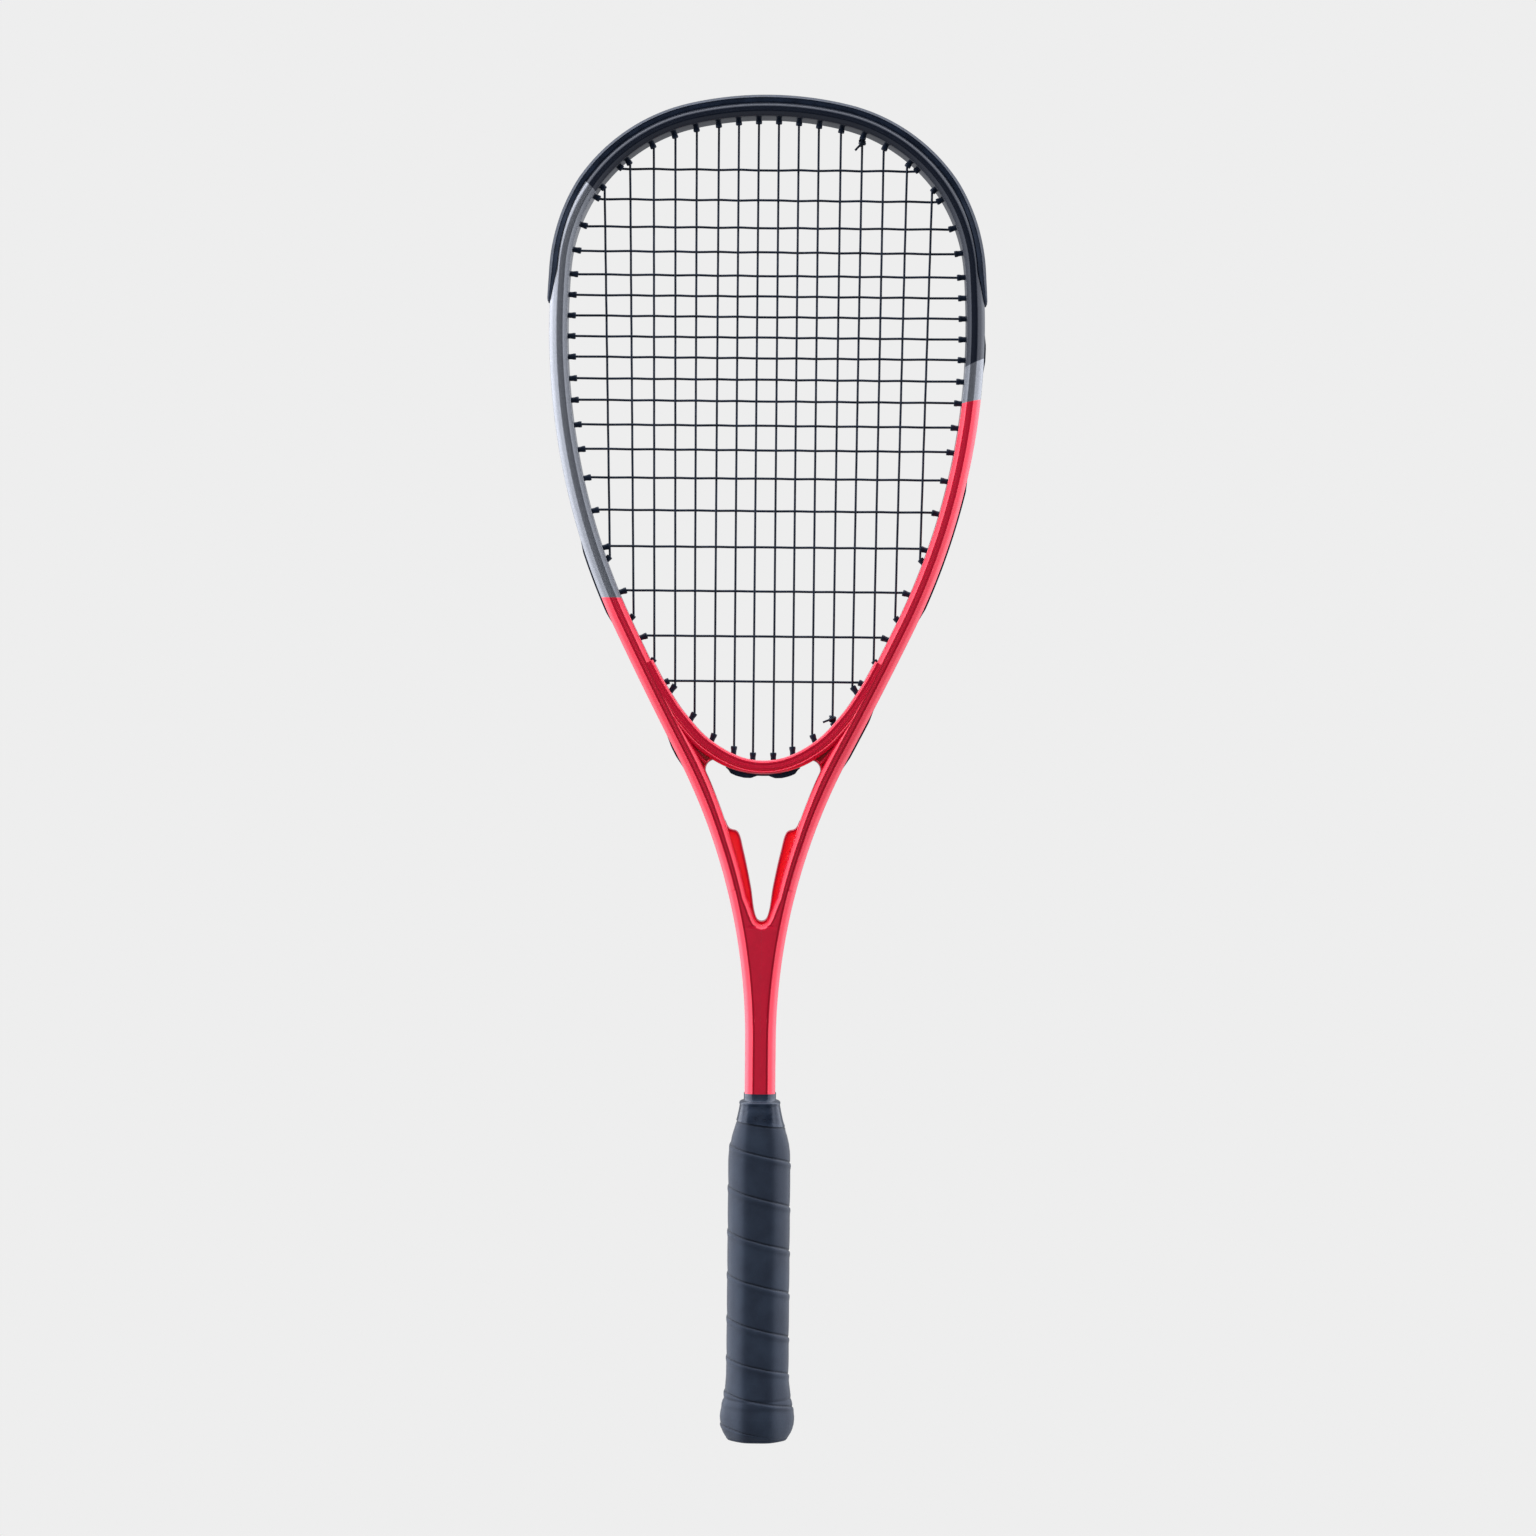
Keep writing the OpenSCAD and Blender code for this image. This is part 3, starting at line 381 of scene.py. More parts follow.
def lacquer_material():
    """The frame's paint: black crown, silver-grey band, red lower part, under lacquer."""
    m = new_material("frame_lacquer")
    run, across, rim = m.attr("run"), m.attr("across"), m.attr("rim")
    recess = m.attr("recess")
    sparkle = m.span(m.cells(m.coords(), 5200).outputs["Color"], 0.55, 1.0)
    cloud = m.noise(m.coords(), 160, 3)
    right = m.math("GREATER_THAN", run, 0.0)
    length = m.math("ABSOLUTE", run)

    def past(at, lean):
        """1 beyond a colour's end, which lies at its own length on each side and leans
        across the tube."""
        left_end = m.math("MULTIPLY_ADD", across, lean[0], at[0])
        right_end = m.math("MULTIPLY_ADD", across, lean[1], at[1])
        end = m.math("MULTIPLY_ADD", right, m.math("SUBTRACT", right_end, left_end), left_end)
        return m.span(m.math("SUBTRACT", length, end), -0.15, 0.15)

    past_black, past_grey = past(BLACK_END, BLACK_LEAN), past(GREY_END, GREY_LEAN)
    black = m.mix(sparkle, "#0F1624", "#1C2536")
    grey = m.mix(sparkle, "#72757C", "#A0A2A8")
    red = m.mix(sparkle, "#E00A34", "#F01240")
    red = m.mix(m.span(cloud, 0.35, 0.7, 0.0, 0.15), red, "#B80A2C")
    # painted light: the sunk faces get a brighter red, standing in for red light bounced between the webs
    red = m.mix(recess, red, "#EE0418")
    colour = m.mix(past_grey, m.mix(past_black, black, grey), red)
    # painted shade: the red is darker along the lines where the flat face meets its bevels, standing in for
    # the dark reflection there
    crease_shade = m.math("MAXIMUM", m.peak(across, OUTER_CREASE, 0.7), m.peak(rim, INNER_CREASE, 0.6))
    crease_shade = m.times(crease_shade, m.span(length, CREASE_FROM, CREASE_TO, 0.0, 0.7))
    colour = m.mix(m.times(crease_shade, past_grey), colour, "#A07C7C", "MULTIPLY")
    # painted shade: the silver band darkens towards the strings, standing in for the dimmer reflection there
    silver = m.math("SUBTRACT", past_black, past_grey)
    deep = m.times(m.span(rim, 6.4, INNER_CREASE + 0.1, 0.0, 0.55), silver)
    colour = m.mix(deep, colour, "#8A9098", "MULTIPLY")
    # painted shade: the gussets' sunk faces are a darker red
    colour = m.mix(m.attr("shade"), colour, "#9A5A60", "MULTIPLY")
    m.bump(m.noise(m.coords(), 900, 2), 0.04, 0.0003)
    metal = m.times(m.math("MULTIPLY_ADD", past_grey, 0.1, 0.45), m.math("SUBTRACT", 1.0, recess))
    m.shade(Base_Color=colour, Metallic=metal, Roughness=m.span(cloud, 0.2, 0.8, 0.28, 0.36))
    # the crown's lacquer is satin, the silver band's the glossiest
    coat = m.math("MULTIPLY_ADD", past_black, 0.65, 0.35)
    coat = m.math("MULTIPLY_ADD", past_grey, -0.14, coat)
    coat = m.times(coat, m.math("MULTIPLY_ADD", recess, -0.85, 1.0))
    m.shade(Coat_Weight=coat, Coat_Roughness=0.07, Coat_IOR=1.5)
    return m.owner


def plastic_material(name, dark, light, rough, shine=0.5):
    """Moulded plastic: fine grain and a slight unevenness of colour."""
    m = new_material(name)
    c = m.coords()
    cloud = m.noise(c, 220, 4)
    fine = m.noise(c, 1400, 3)
    m.bump(fine, 0.12, 0.0002)
    m.shade(Base_Color=m.mix(m.span(cloud, 0.3, 0.7), dark, light))
    m.shade(Roughness=m.span(fine, 0.3, 0.7, rough - 0.06, rough + 0.08))
    m.shade(Specular_IOR_Level=shine, Specular_Tint=COOL)
    return m.owner


def string_material():
    """Multifilament string: a fine wrap under a thin coating."""
    m = new_material("string_nylon")
    c = m.coords()
    fine = m.noise(c, 2600, 3)
    cloud = m.noise(c, 90, 2)
    m.bump(fine, 0.15, 0.00008)
    m.shade(Base_Color=m.mix(m.span(cloud, 0.3, 0.7), "#0B1018", "#141B28"))
    m.shade(Roughness=m.span(fine, 0.3, 0.7, 0.4, 0.54), Coat_Weight=0.1, Coat_Roughness=0.3)
    m.shade(Specular_IOR_Level=0.35, Specular_Tint=COOL)
    return m.owner


def grip_material():
    """Polyurethane grip: soft, slightly tacky, with a fine pebble, dark seams and a painted shadow under the
    tape's edge.
    """
    m = new_material("grip_polyurethane")
    c = m.coords()
    pebble = m.cells(c, 1500)
    cloud = m.noise(c, 70, 4)
    fine = m.noise(c, 2400, 3)
    height = m.math("MULTIPLY_ADD", pebble.outputs["Distance"], 0.5, m.times(fine, 0.6))
    m.bump(height, 0.18, 0.0002)
    base = m.mix(m.span(cloud, 0.3, 0.7), "#1B212C", "#242C38")
    # dark along the wrap's seams, and painted shadow under the finishing tape's edge
    base = m.mix(m.span(m.attr("seam"), 0.0, 1.0), base, "#0E1219")
    m.shade(Base_Color=base, Roughness=m.span(fine, 0.25, 0.75, 0.42, 0.56))
    m.shade(Sheen_Weight=0.22, Sheen_Roughness=0.35, Specular_IOR_Level=0.5, Specular_Tint=PALE_COOL)
    return m.owner


def tape_material():
    """Stretched vinyl tape: shiny, with shallow wrinkles."""
    m = new_material("finishing_vinyl")
    c = m.coords()
    short = m.set(m.node("Mapping", c), Scale=(1.0, 1.0, 1.8)).outputs[0]
    cloud = m.noise(short, 110, 2, distortion=0.25)
    m.bump(m.math("ADD", cloud, m.times(m.noise(c, 1500, 2), 0.06)), 0.6, 0.0014)
    m.shade(Base_Color=m.mix(m.span(cloud, 0.3, 0.7), "#131A26", "#212A38"))
    m.shade(Roughness=m.span(cloud, 0.3, 0.7, 0.26, 0.42), Coat_Weight=0.3, Coat_Roughness=0.16)
    m.shade(Specular_Tint=PALE_COOL)
    return m.owner


# ---- Frame ----
FACE = 9.5               # half depth of the beam
SIDE_D = 4.9             # half depth of the flat outer wall
BEVEL_W = 3.8
BULGE = 0.16             # crown of the outer bevel
GROOVE_W, GROOVE_T = 3.2, 3.0
GROOVE_END = 437.76
FOOT_Z = 8.0
NO_RIM = 99.0            # distance to the rim given where the section has none
CROTCH_Z = 263.1         # bottom of the open space at the front face
CROTCH_REACH = 300       # height below which a section may meet the open space
ARM_Z = 277              # from here up the arms' inner walls bound it
ARM_W = 8.85             # an arm's width there
OUTER_ROOM, INNER_ROOM = 6.3, 2.95   # widths that the outer and inner half of a section take
# Inner bevel: distance in from the edge, and depth from the mid-plane
INNER = np.array([(0, 6.9), (0.04, 7.15), (0.15, 7.42), (0.35, 7.66), (0.8, 8.08), (1.5, 8.72),
                  (2.05, 9.16), (2.35, 9.36), (2.65, 9.46), (3.0, FACE)])


def member_w(s):
    """Width of the hoop: thinnest at the crown, and drawn in again above the crotch."""
    return np.interp(s, [0, 40, 105, 170, 345, 435, 465], [8.3, 8.3, 8.5, 9.3, 9.6, 9.6, ARM_W])


def crotch_line():
    """Edge of the open space between the arms, from the middle up the right side."""
    bow = [(-1.5, 263.6), (0, CROTCH_Z), (1.5, 263.6), (2.6, 264.9), (3.7, 267.1), (4.9, 270.3), (6.3, 274)]
    arm = [at_depth(s, member_w(s)) for s in (s_at_z(z, ARM_W) for z in np.linspace(ARM_Z, 310, 60))]
    line = smooth_line(bow + [arm[0]], 10)[10:]
    return np.vstack([line, arm[1:]])


CROTCH = crotch_line()
CROTCH_BOTH = mirrored(CROTCH)


def edge_distance(points):
    """Distance of each point from the edge of the open space."""
    a, b = CROTCH_BOTH[:-1], CROTCH_BOTH[1:]
    along = b - a
    u = ((points[:, None] - a) * along).sum(2) / (along**2).sum(1)
    near = a + np.clip(u, 0, 1)[..., None] * along
    return np.linalg.norm(points[:, None] - near, axis=2).min(1)


def reach(p, n, w):
    """How far a row of the section runs in from p: the member's width, or less where
    it meets the open space or the middle plane."""
    if p[1] > CROTCH_REACH:
        return w
    t = np.linspace(0, p[0] / n[0], 600)
    x, z = p[0] - n[0] * t, p[1] - n[1] * t
    wall = np.where(z > CROTCH_Z, np.interp(z, CROTCH[:, 1], CROTCH[:, 0]), -1)
    hit = np.nonzero(x <= wall)[0]
    return t[hit[0]] if len(hit) else t[-1]


def outer_half(grooved, squeeze):
    """The section from the groove's middle over the outer bevel to the flat face."""
    if grooved:
        wall = [(GROOVE_T, 0), (GROOVE_T, GROOVE_W - 0.02), (GROOVE_T, GROOVE_W), (0.35, GROOVE_W + 0.02),
                (0.1, GROOVE_W + 0.12), (0, GROOVE_W + 0.3)]
    else:
        wall = [(0, d) for d in (0, 0.8, 1.6, 2.2, 2.8, GROOVE_W + 0.3)]
    side, corner = np.array((0, SIDE_D - 1.2)), np.array((0, SIDE_D))
    shoulder, face = np.array((BEVEL_W, FACE - 0.12)), np.array((BEVEL_W + 4.4, FACE + 0.01))
    low = arc_corner(side, corner, shoulder, 2.0, 5)
    high = arc_corner(corner, shoulder, face, 2.6, 7)
    out = np.array([corner[1] - shoulder[1], shoulder[0]]) / np.linalg.norm(shoulder - corner)
    u = np.linspace(0, 1, 6)[1:-1, None]
    bevel = low[-1] * (1 - u) + high[0] * u + BULGE * 4 * u * (1 - u) * out
    return np.vstack([wall, low, bevel, high]) * [squeeze, 1]


def frame_rows():
    """Lengths down the path at which the section is drawn, closest round the crotch."""
    hoop = np.linspace(0, GROOVE_END, 190)
    close = [s_at_z(z) for z in np.arange(286, 246, -0.4)]
    arm = np.linspace(GROOVE_END + 2, close[0], 30)[:-1]
    neck = np.linspace(close[-1], PATH_END, 24)[1:]
    shaft = np.linspace(PATH_END, PATH_END + SHAFT_TOP - FOOT_Z, 26)[1:]
    return np.concatenate([hoop, [GROOVE_END + 0.01], arm, close, neck, shaft])


def frame_half(side):
    """One half of the frame, swept from the crown to the foot of the shaft, and the
    values of the paint's attributes at its vertices."""
    rows, run, across, rim = [], [], [], []
    for s in frame_rows():
        p, n = path(s)
        w = reach(p, n, member_w(s))
        squeeze = min(1, (w - INNER_ROOM) / OUTER_ROOM) if p[1] > 280 else 1
        outer = outer_half(s <= GROOVE_END, squeeze)
        e = INNER[::-1, 0] * min(1, (w - outer[-1, 0]) / INNER_ROOM)
        d = INNER[::-1, 1]
        if p[1] < CROTCH_REACH:
            d = np.interp(edge_distance(p[None] - n[None] * (w - e)[:, None]), INNER[:, 0], INNER[:, 1])
        sec = whole(np.vstack([outer, np.stack([w - e, d], 1), [[w, d[-1] * 0.5], [w, 0]]]))
        rows.append(laid(sec, p, n, side))
        run += [side * max(s, 0.001)] * len(sec)
        across += list(sec[:, 0])
        rim += list(w - sec[:, 0] if p[0] - n[0] * w > 0.3 else np.full(len(sec), NO_RIM))
    faces = skin_faces(len(rows), len(rows[0]))
    if side < 0:
        faces = [f[::-1] for f in faces]
    return np.concatenate(rows), faces, run, across, rim


# Where the black and the silver end, left and right, and how the ends lean across
BLACK_END = (s_at_z(641.5), s_at_z(552.5))
GREY_END = (s_at_z(429.0), s_at_z(531.5))
BLACK_LEAN, GREY_LEAN = (0.2, 0.55), (0.45, 0.35)


def make_frame(material):
    """Both halves, joined on the middle plane, where their end faces are left out."""
    b = Batch()
    attrs = {"run": [], "across": [], "rim": []}
    for side in (1, -1):
        v, f, *values = frame_half(side)
        b.add(v, f)
        for key, x in zip(attrs, values):
            attrs[key] += x
    verts = np.concatenate(b.v)
    faces = [f for f in b.f if not all(abs(verts[i][0]) < 1e-6 for i in f)]
    return add_mesh("frame_tube", verts, faces, material, attrs, sharp=50)


def red_piece(batch, name, material, recess=None, shade=None):
    """A piece of the frame that lies in the red part of the paint."""
    n = batch.n
    attrs = {"run": [500.0] * n, "across": [6.5] * n, "rim": [NO_RIM] * n}
    attrs["recess"] = recess or [0.0] * n
    attrs["shade"] = shade or [0.0] * n
    return batch.done(name, material, attrs=attrs, sharp=50)


BRIDGE_C, BRIDGE_R = np.array([0, 402.69]), 55.19    # the arc of its outer groove
# Edge of the bridge on the strung side: half width, height
BRIDGE_EDGE = [(0, 346.7), (10, 348.1), (20, 352.5), (30.3, 359.9), (40.2, 371), (46, 379.2),
               (51.2, 387.6), (56.5, 397.5)]
BRIDGE_T = ([0, 8, 15, 22, 30], [7.0, 7.3, 7.6, 7.8, 7.9])   # its thickness by half width
# Its face from the strung edge down: distance from the edge, depth
BRIDGE_FACE = [(0, 6.9), (0.3, 7.55), (0.8, 8.1), (1.4, 8.42), (2.4, 8.22), (3.2, 8.3), (3.9, 8.44),
               (4.5, 8.3), (5.0, 7.85), (5.3, 7.85), (5.8, 8.3), (6.1, 8.35), (6.6, 7.9)]


def bridge_line(per=12):
    """The bridge's strung edge from left to right."""
    return mirrored(smooth_line([(-10, 348.1)] + BRIDGE_EDGE, per)[per:])


def bridge_bar(material):
    """The curved bar that closes the strung area and runs out into the arms."""
    line = bridge_line()
    rows = []
    for p, n in zip(line, normals(line)):
        rise = np.interp(abs(p[0]), [20, 38], [0, FACE - 8.5])
        thick = np.interp(abs(p[0]), *BRIDGE_T)
        face = smooth_line(BRIDGE_FACE + [(thick - 0.3, 7.0), (thick, 6.0)], 3) + [0, rise]
        rows.append(laid(whole(np.vstack([[(0, 0), (0, 3.2)], face, [(thick, 0)]])), p, -n))
    return red_piece(Batch(rows), "bridge_bar", material)


def web(b, edge, inward, anchor, deep, rim, rim_w):
    """A thin web between an edge with a rounded rim and anchor points that lie hidden
    in the members: rows along the edge, columns from the front round to the back.
    Gives 1 for each vertex of its sunk faces and 0 for the rim's."""
    foot = rim_w * 1.35
    prof = [(0, deep - 1.2), (0.12, deep - 0.4 + rim * 0.5), (rim_w * 0.35, deep + rim),
            (rim_w * 0.65, deep + rim), (rim_w, deep + rim * 0.3), (foot, deep)]
    rows = []
    for p, n, a in zip(edge, inward, anchor):
        half = [(p + n * off, d) for off, d in prof]
        half += [(p + n * foot + (a - p - n * foot) * k, deep) for k in (0.5, 1)]
        front = [(q[0], -d, q[1]) for q, d in half]
        back = [(q[0], d, q[1]) for q, d in half]
        rows.append(np.array(front[::-1] + back))
    b.sweep(rows)
    sunk = [0.0] * (len(prof) - 1) + [1.0] * 3
    return (sunk[::-1] + sunk) * len(rows)


# Edge of the web in the foot of the throat: half width, height
FIN_EDGE = [(0, 264.9), (1.3, 265.2), (2.5, 266.3), (3.5, 269), (4.3, 273), (5.2, 280), (6.1, 285),
            (7.2, 290.5), (8.4, 296), (9.7, 301.5), (11.0, 307), (12.2, 309.9), (13.6, 311.1),
            (15.2, 311.5), (16.7, 312.1), (17.9, 313.7), (18.8, 315.8), (20.4, 318.2)]
CORNER_R = 4.8           # rounding of the throat's upper corners
CORNER_TOP = 346.9       # height of the throat's upper edge beside them
ARM_SLOPE = 24           # the arms' angle there, about
HIDDEN = 6.5             # depth at which a web's hidden edge lies in an arm
# Ridge that runs down each gusset beside the arm: half width, height
GUSSET_RIDGE = [(40.6, 361.6), (38.2, 357.6), (34.9, 352.3), (31.4, 347.6), (29.0, 345.2)]


def fin(b):
    """The web in the foot of the throat, from arm to arm."""
    both = mirrored(smooth_line(FIN_EDGE, 6))
    anchor = []
    for x, z in both:
        if abs(x) < 3.0:
            anchor.append((x * 1.3, 258))
        else:
            za = min(z - (2 if abs(x) > 9.5 else 0), 306 + 0.2 * (abs(x) - 9.5))
            low = max(0, 1 - (abs(x) - 3.0) / 1.2)
            anchor.append((math.copysign(half_width(za, HIDDEN), x), za - 6 * low))
    return web(b, both, normals(both), np.array(anchor), 4.6, 0.45, 1.0)


def gusset(b, side):
    """The web that rounds one upper corner of the throat."""
    zc = CORNER_TOP - CORNER_R
    xc = half_width(zc, 9.6) - CORNER_R / cosd(ARM_SLOPE)
    turn = np.linspace(-26, 98, 20)
    arc = np.array([(xc, zc)]) + CORNER_R * np.stack([cosd(turn), sind(turn)], 1)
    arm = [(half_width(z, 8.4), z) for z in (322, 330)]
    bar = [(xc - 6, CORNER_TOP), (xc - 11, CORNER_TOP - 0.7)]
    line = np.array(arm + list(arc) + bar)
    far = np.linspace(0, 1, len(line))[:, None]
    anchor = (1 - far) * np.array([(half_width(374, HIDDEN), 374)]) + far * np.array([(xc + 1, 353.5)])
    flip = [side, 1]
    return web(b, line * flip, normals(line) * flip, anchor * flip, 5.0, 0.4, 0.9)


def throat_webs(material):
    """The webs and the gussets' ridges, with sunk faces marked for the paint: a brighter red as painted
    light, and painted shade in the gussets.
    """
    b = Batch()
    recess = fin(b)
    shade = [0.0] * len(recess)
    for side in (1, -1):
        sunk = gusset(b, side)
        recess += [0.4 * x for x in sunk]
        shade += sunk
        for face in (-1, 1):
            ridge = smooth_line(GUSSET_RIDGE, 5)
            swell = np.interp(np.arange(len(ridge)), [0, 5, len(ridge) - 1], [0.35, 0.8, 0.95])
            v, f = tube([(x * side, face * 5.3, z) for x, z in ridge], swell, 12)
            b.add(v, f)
            recess += [0.0] * len(v)
            shade += [0.0] * len(v)
    return red_piece(b, "throat_webs", material, recess, shade)


# ---- Grommets and strings: positions ----
# Main strings' distances from the middle at the crown and at their lower ends
MAIN_X = np.array([5.1, 15.3, 25.5, 36.8, 47.7, 58.7, 70.7, 83.6])
LOW_X = np.array([5.1, 14.8, 25.0, 35.2, 45.3, 56.0, 66.8, 79.2])
# Cross strings' heights: the lowest, the highest, and the shares of the gaps between
CROSS_LOW, CROSS_HIGH = 387.0, 648.2
CROSS_GAPS = [23, 23, 22.5, 18.5, 16.5, 14.5, 12.5, 12.5, 11, 11, 10.5, 10.5, 10.5, 10.5, 12, 12.5, 14, 15.5]
CROSS_Z = CROSS_LOW + np.cumsum([0] + CROSS_GAPS) * (CROSS_HIGH - CROSS_LOW) / sum(CROSS_GAPS)
MAINS, CROSSES = len(MAIN_X), len(CROSS_Z)
BUMPER_END = 172.2       # length down the path at which the bumper guard ends
S_WIDEST = STARTS[2] + SIDE_R * math.radians(90 - SHOULDER_END)
BARREL_R, BORE_R = 1.5, 0.78
STRING_R = 0.62
BRIDGE_TIP = 3.7         # how far barrels stand out of the bridge's strung side


def main_depth(s):
    """How far inside the outer face the main strings' barrels end."""
    return np.interp(s, [0, 60, 84, 106, 250, 400], [11.2, 11.4, 11.4, 10.6, 11.4, 11.6])


def cross_depth(s):
    """The same for the cross strings."""
    return np.interp(s, [80, 90, 110, 143, 157, 300, 420], [10.2, 10.4, 11.5, 13.0, 13.2, 13.3, 13.4])


def tilt(normal, pull, share):
    """A barrel's direction: the frame's normal, turned by its share towards the pull."""
    d = np.asarray(normal) * (1 - share) + np.asarray(pull) * share
    return d / np.linalg.norm(d)


def hoop_grommet(axis, value, lo, hi, rising, pull, share):
    """Tip and outward direction of the grommet whose string has x or z = value, and its
    length down the path."""
    sign = 1 if rising else -1
    depth = cross_depth if axis else main_depth
    s = solve(lambda q: sign * (at_depth(q, depth(q))[axis] - value), lo, hi)
    return at_depth(s, depth(s)), tilt(path(s)[1], pull, share), s


def low_grommet(x, out=BRIDGE_TIP):
    """The grommet at a main string's lower end: through the bridge, or through an arm."""
    if x > 50:
        return hoop_grommet(0, x, S_WIDEST, PATH_END, False, (0, -1), 0.45)
    line = bridge_line(40)
    tips = line - normals(line) * out
    i = int(np.argmin(np.abs(tips[:, 0] - x)))
    return tips[i], tilt(normals(line)[i], (0, -1), np.interp(x, [15, 26], [0.85, 0.4])), None


TOPS = [hoop_grommet(0, x, 0, S_WIDEST, True, (0, 1), 0.25) for x in MAIN_X]
LOWS = [low_grommet(x) for x in LOW_X]
SIDES = [hoop_grommet(1, z, 0, PATH_END, False, (1, 0), 0.25) for z in CROSS_Z]
# Both string ends are tied on the right: at this top grommet and at this lower one,
# which the knot has drawn deeper into the frame
TIE_TOP, TIE_LOW = 4, 3
TIED_LOW = low_grommet(LOW_X[TIE_LOW], 1.0)


def low_at(i, side):
    """The lower grommet of main string i on one side."""
    return TIED_LOW if (i, side) == (TIE_LOW, 1) else LOWS[i]


def barrel(g, side, length):
    """A grommet's barrel from its rounded tip outwards, with its bore."""
    tip, direction = g[:2]
    o = np.array([tip[0] * side, 0, tip[1]])
    d = np.array([direction[0] * side, 0, direction[1]])
    skin = [(0, -0.15), (0.12, 0.06), (0.4, 0.14), (1.3, 0.12), (1.9, -0.04), (2.6, -0.1), (length, -0.1)]
    prof = [(1.2, BORE_R), (0.15, BORE_R), (0, BORE_R + 0.12)] + [(a, BARREL_R + r) for a, r in skin]
    u = np.array([0, 1, 0])
    w = np.cross(d, u)
    q = np.radians(360 * np.arange(20) / 20)[:, None]
    return [o + d * a + r * (np.cos(q) * u + np.sin(q) * w) for a, r in prof]


# ---- Bumper guard and strips ----
BAND = 4.25              # width of the bumper guard as seen from the front
TAPER = 17               # length over which its legs run out at each end


def proud(s):
    """How far the bumper guard stands out of the frame."""
    ends = [0, 108, 122, 140, 160, BUMPER_END - 1, BUMPER_END]
    return np.interp(s, ends, [3.0, 3.0, 2.5, 1.9, 1.5, 1.5, 1.2])


def bumper_section(s):
    """Half of the guard's section: full over the crown, down to a thin leg at its end."""
    t = -proud(s)
    u = BAND + t
    d = SIDE_D + 1.15 * u + 0.85
    r = max(7.0, d - 0.8)
    full = [(t - 0.02, 3.7), (t + 0.04, 4.4), (t + 0.22, 5.0), (t + 0.65, r - 1.35), (t + 1.1, r - 0.75),
            (t + 1.5, r - 0.2), (t + 1.7, r + 0.12), (t + 1.95, r + 0.15), (t + 2.15, r),
            (0.5 * (t + 2.15 + u), (r + d) / 2 + 0.05), (u - 0.25, d), (u, d - 0.1),
            (u + 0.12, d - 0.4), (u + 0.1, d - 1.6)]
    leg = [(t, 3.6), (t + 0.05, 3.9), (t + 0.15, 4.2), (t + 0.3, 4.4), (t + 0.45, 4.5), (t + 0.6, 4.6),
           (t + 0.7, 4.75), (t + 0.8, 4.75), (t + 0.9, 4.75), (t + 1.0, 4.85), (t + 1.1, 4.9),
           (t + 1.15, 4.85), (t + 1.2, 4.7), (0.1, 4.6)]
    share = float(np.clip((BUMPER_END - s) / TAPER, 0, 1)) ** 0.8
    skin = np.array(full) * share + np.array(leg) * (1 - share)
    lip = [(2.5, 0), (2.5, 2.2), (1.9, 2.3), (t + 0.5, 2.35), (t + 0.1, 2.6), (t, 3.0)]
    under = [(0.05, 3.9), (0.05, 3.0), (2.85, 2.95), (2.85, 0)]
    return np.vstack([lip, skin, under])


def bumper_guard(material):
    b = Batch()
    for side in (1, -1):
        rows = [laid(whole(bumper_section(s)), *path(s), side) for s in np.linspace(0, BUMPER_END, 100)]
        b.sweep(rows, closed=False)
        for g in TOPS + [g for g in SIDES if g[2] < BUMPER_END]:
            b.sweep(barrel(g, side, 6.5 if g[2] < 120 else 7.5))
    return b.done("bumper_and_grommets", material, sharp=35)


STRIP_FROM, STRIP_TO = BUMPER_END + 2, 436.76
# Raised guards on the strips, from and to as shares of a strip's length
GUARDS = {1: [(0.052, 0.121), (0.337, 0.618), (0.822, 0.942)], -1: [(0.467, 0.631), (0.882, 0.942)]}


def side_strip(material, side):
    rows = []
    for s in np.linspace(STRIP_FROM, STRIP_TO, 130):
        u = (s - STRIP_FROM) / (STRIP_TO - STRIP_FROM)
        lift = 0.0
        for a, c in GUARDS[side]:
            ramps = [a - 0.008, a + 0.02, c - 0.02, c + 0.008]
            lift = max(lift, np.interp(u, ramps, [0, 1, 1, 0]))
        top = 0.1 - 0.9 * lift
        half = [(1.9, 0), (1.9, 2.1), (1.8, 2.15), (top + 0.15, 2.2), (top, 2.35), (top, 2.9),
                (top + 0.15, 3.05), (2.8, 3.1), (2.9, 3.05), (2.9, 0)]
        rows.append(laid(whole(half), *path(s), side))
    b = Batch(rows)
    lows = [low_at(i, side) for i in range(2, MAINS)]
    for g in [g for g in SIDES if g[2] > BUMPER_END] + lows:
        b.sweep(barrel(g, side, 8.0))
    return b.done(("right" if side > 0 else "left") + "_strip_and_grommets", material, sharp=35)


def bridge_strip(material):
    """The strip under the bridge, with a hump on each side that covers the string."""
    rows = []
    base = BRIDGE_R + 7.1
    for a in np.linspace(-17.6, 17.6, 90):
        end = np.interp(abs(a), [15.0, 17.6], [1.0, 0.25])
        hump = np.interp(abs(a), [2.6, 5.4, 8.5, 12.2, 14.6, 16.6], [0.35, 1.75, 2.1, 1.8, 1.3, 0.2])
        h = base + 1.1 * end + 0.15
        top = h + hump * end
        half = [(base, 0), (base, 3.15), (h, 3.2), (top - 0.3, 3.15), (top, 2.9), (top, 2.4),
                (top - 0.2, 2.15), (h + 0.05, 2.1), (h, 0)]
        rows.append(laid(whole(half), BRIDGE_C, np.array([-sind(a), cosd(a)])))
    b = Batch(rows)
    for side in (1, -1):
        for g in LOWS[:2]:
            b.sweep(barrel(g, side, 7.5))
    return b.done("bridge_strip_and_grommets", material, sharp=35)


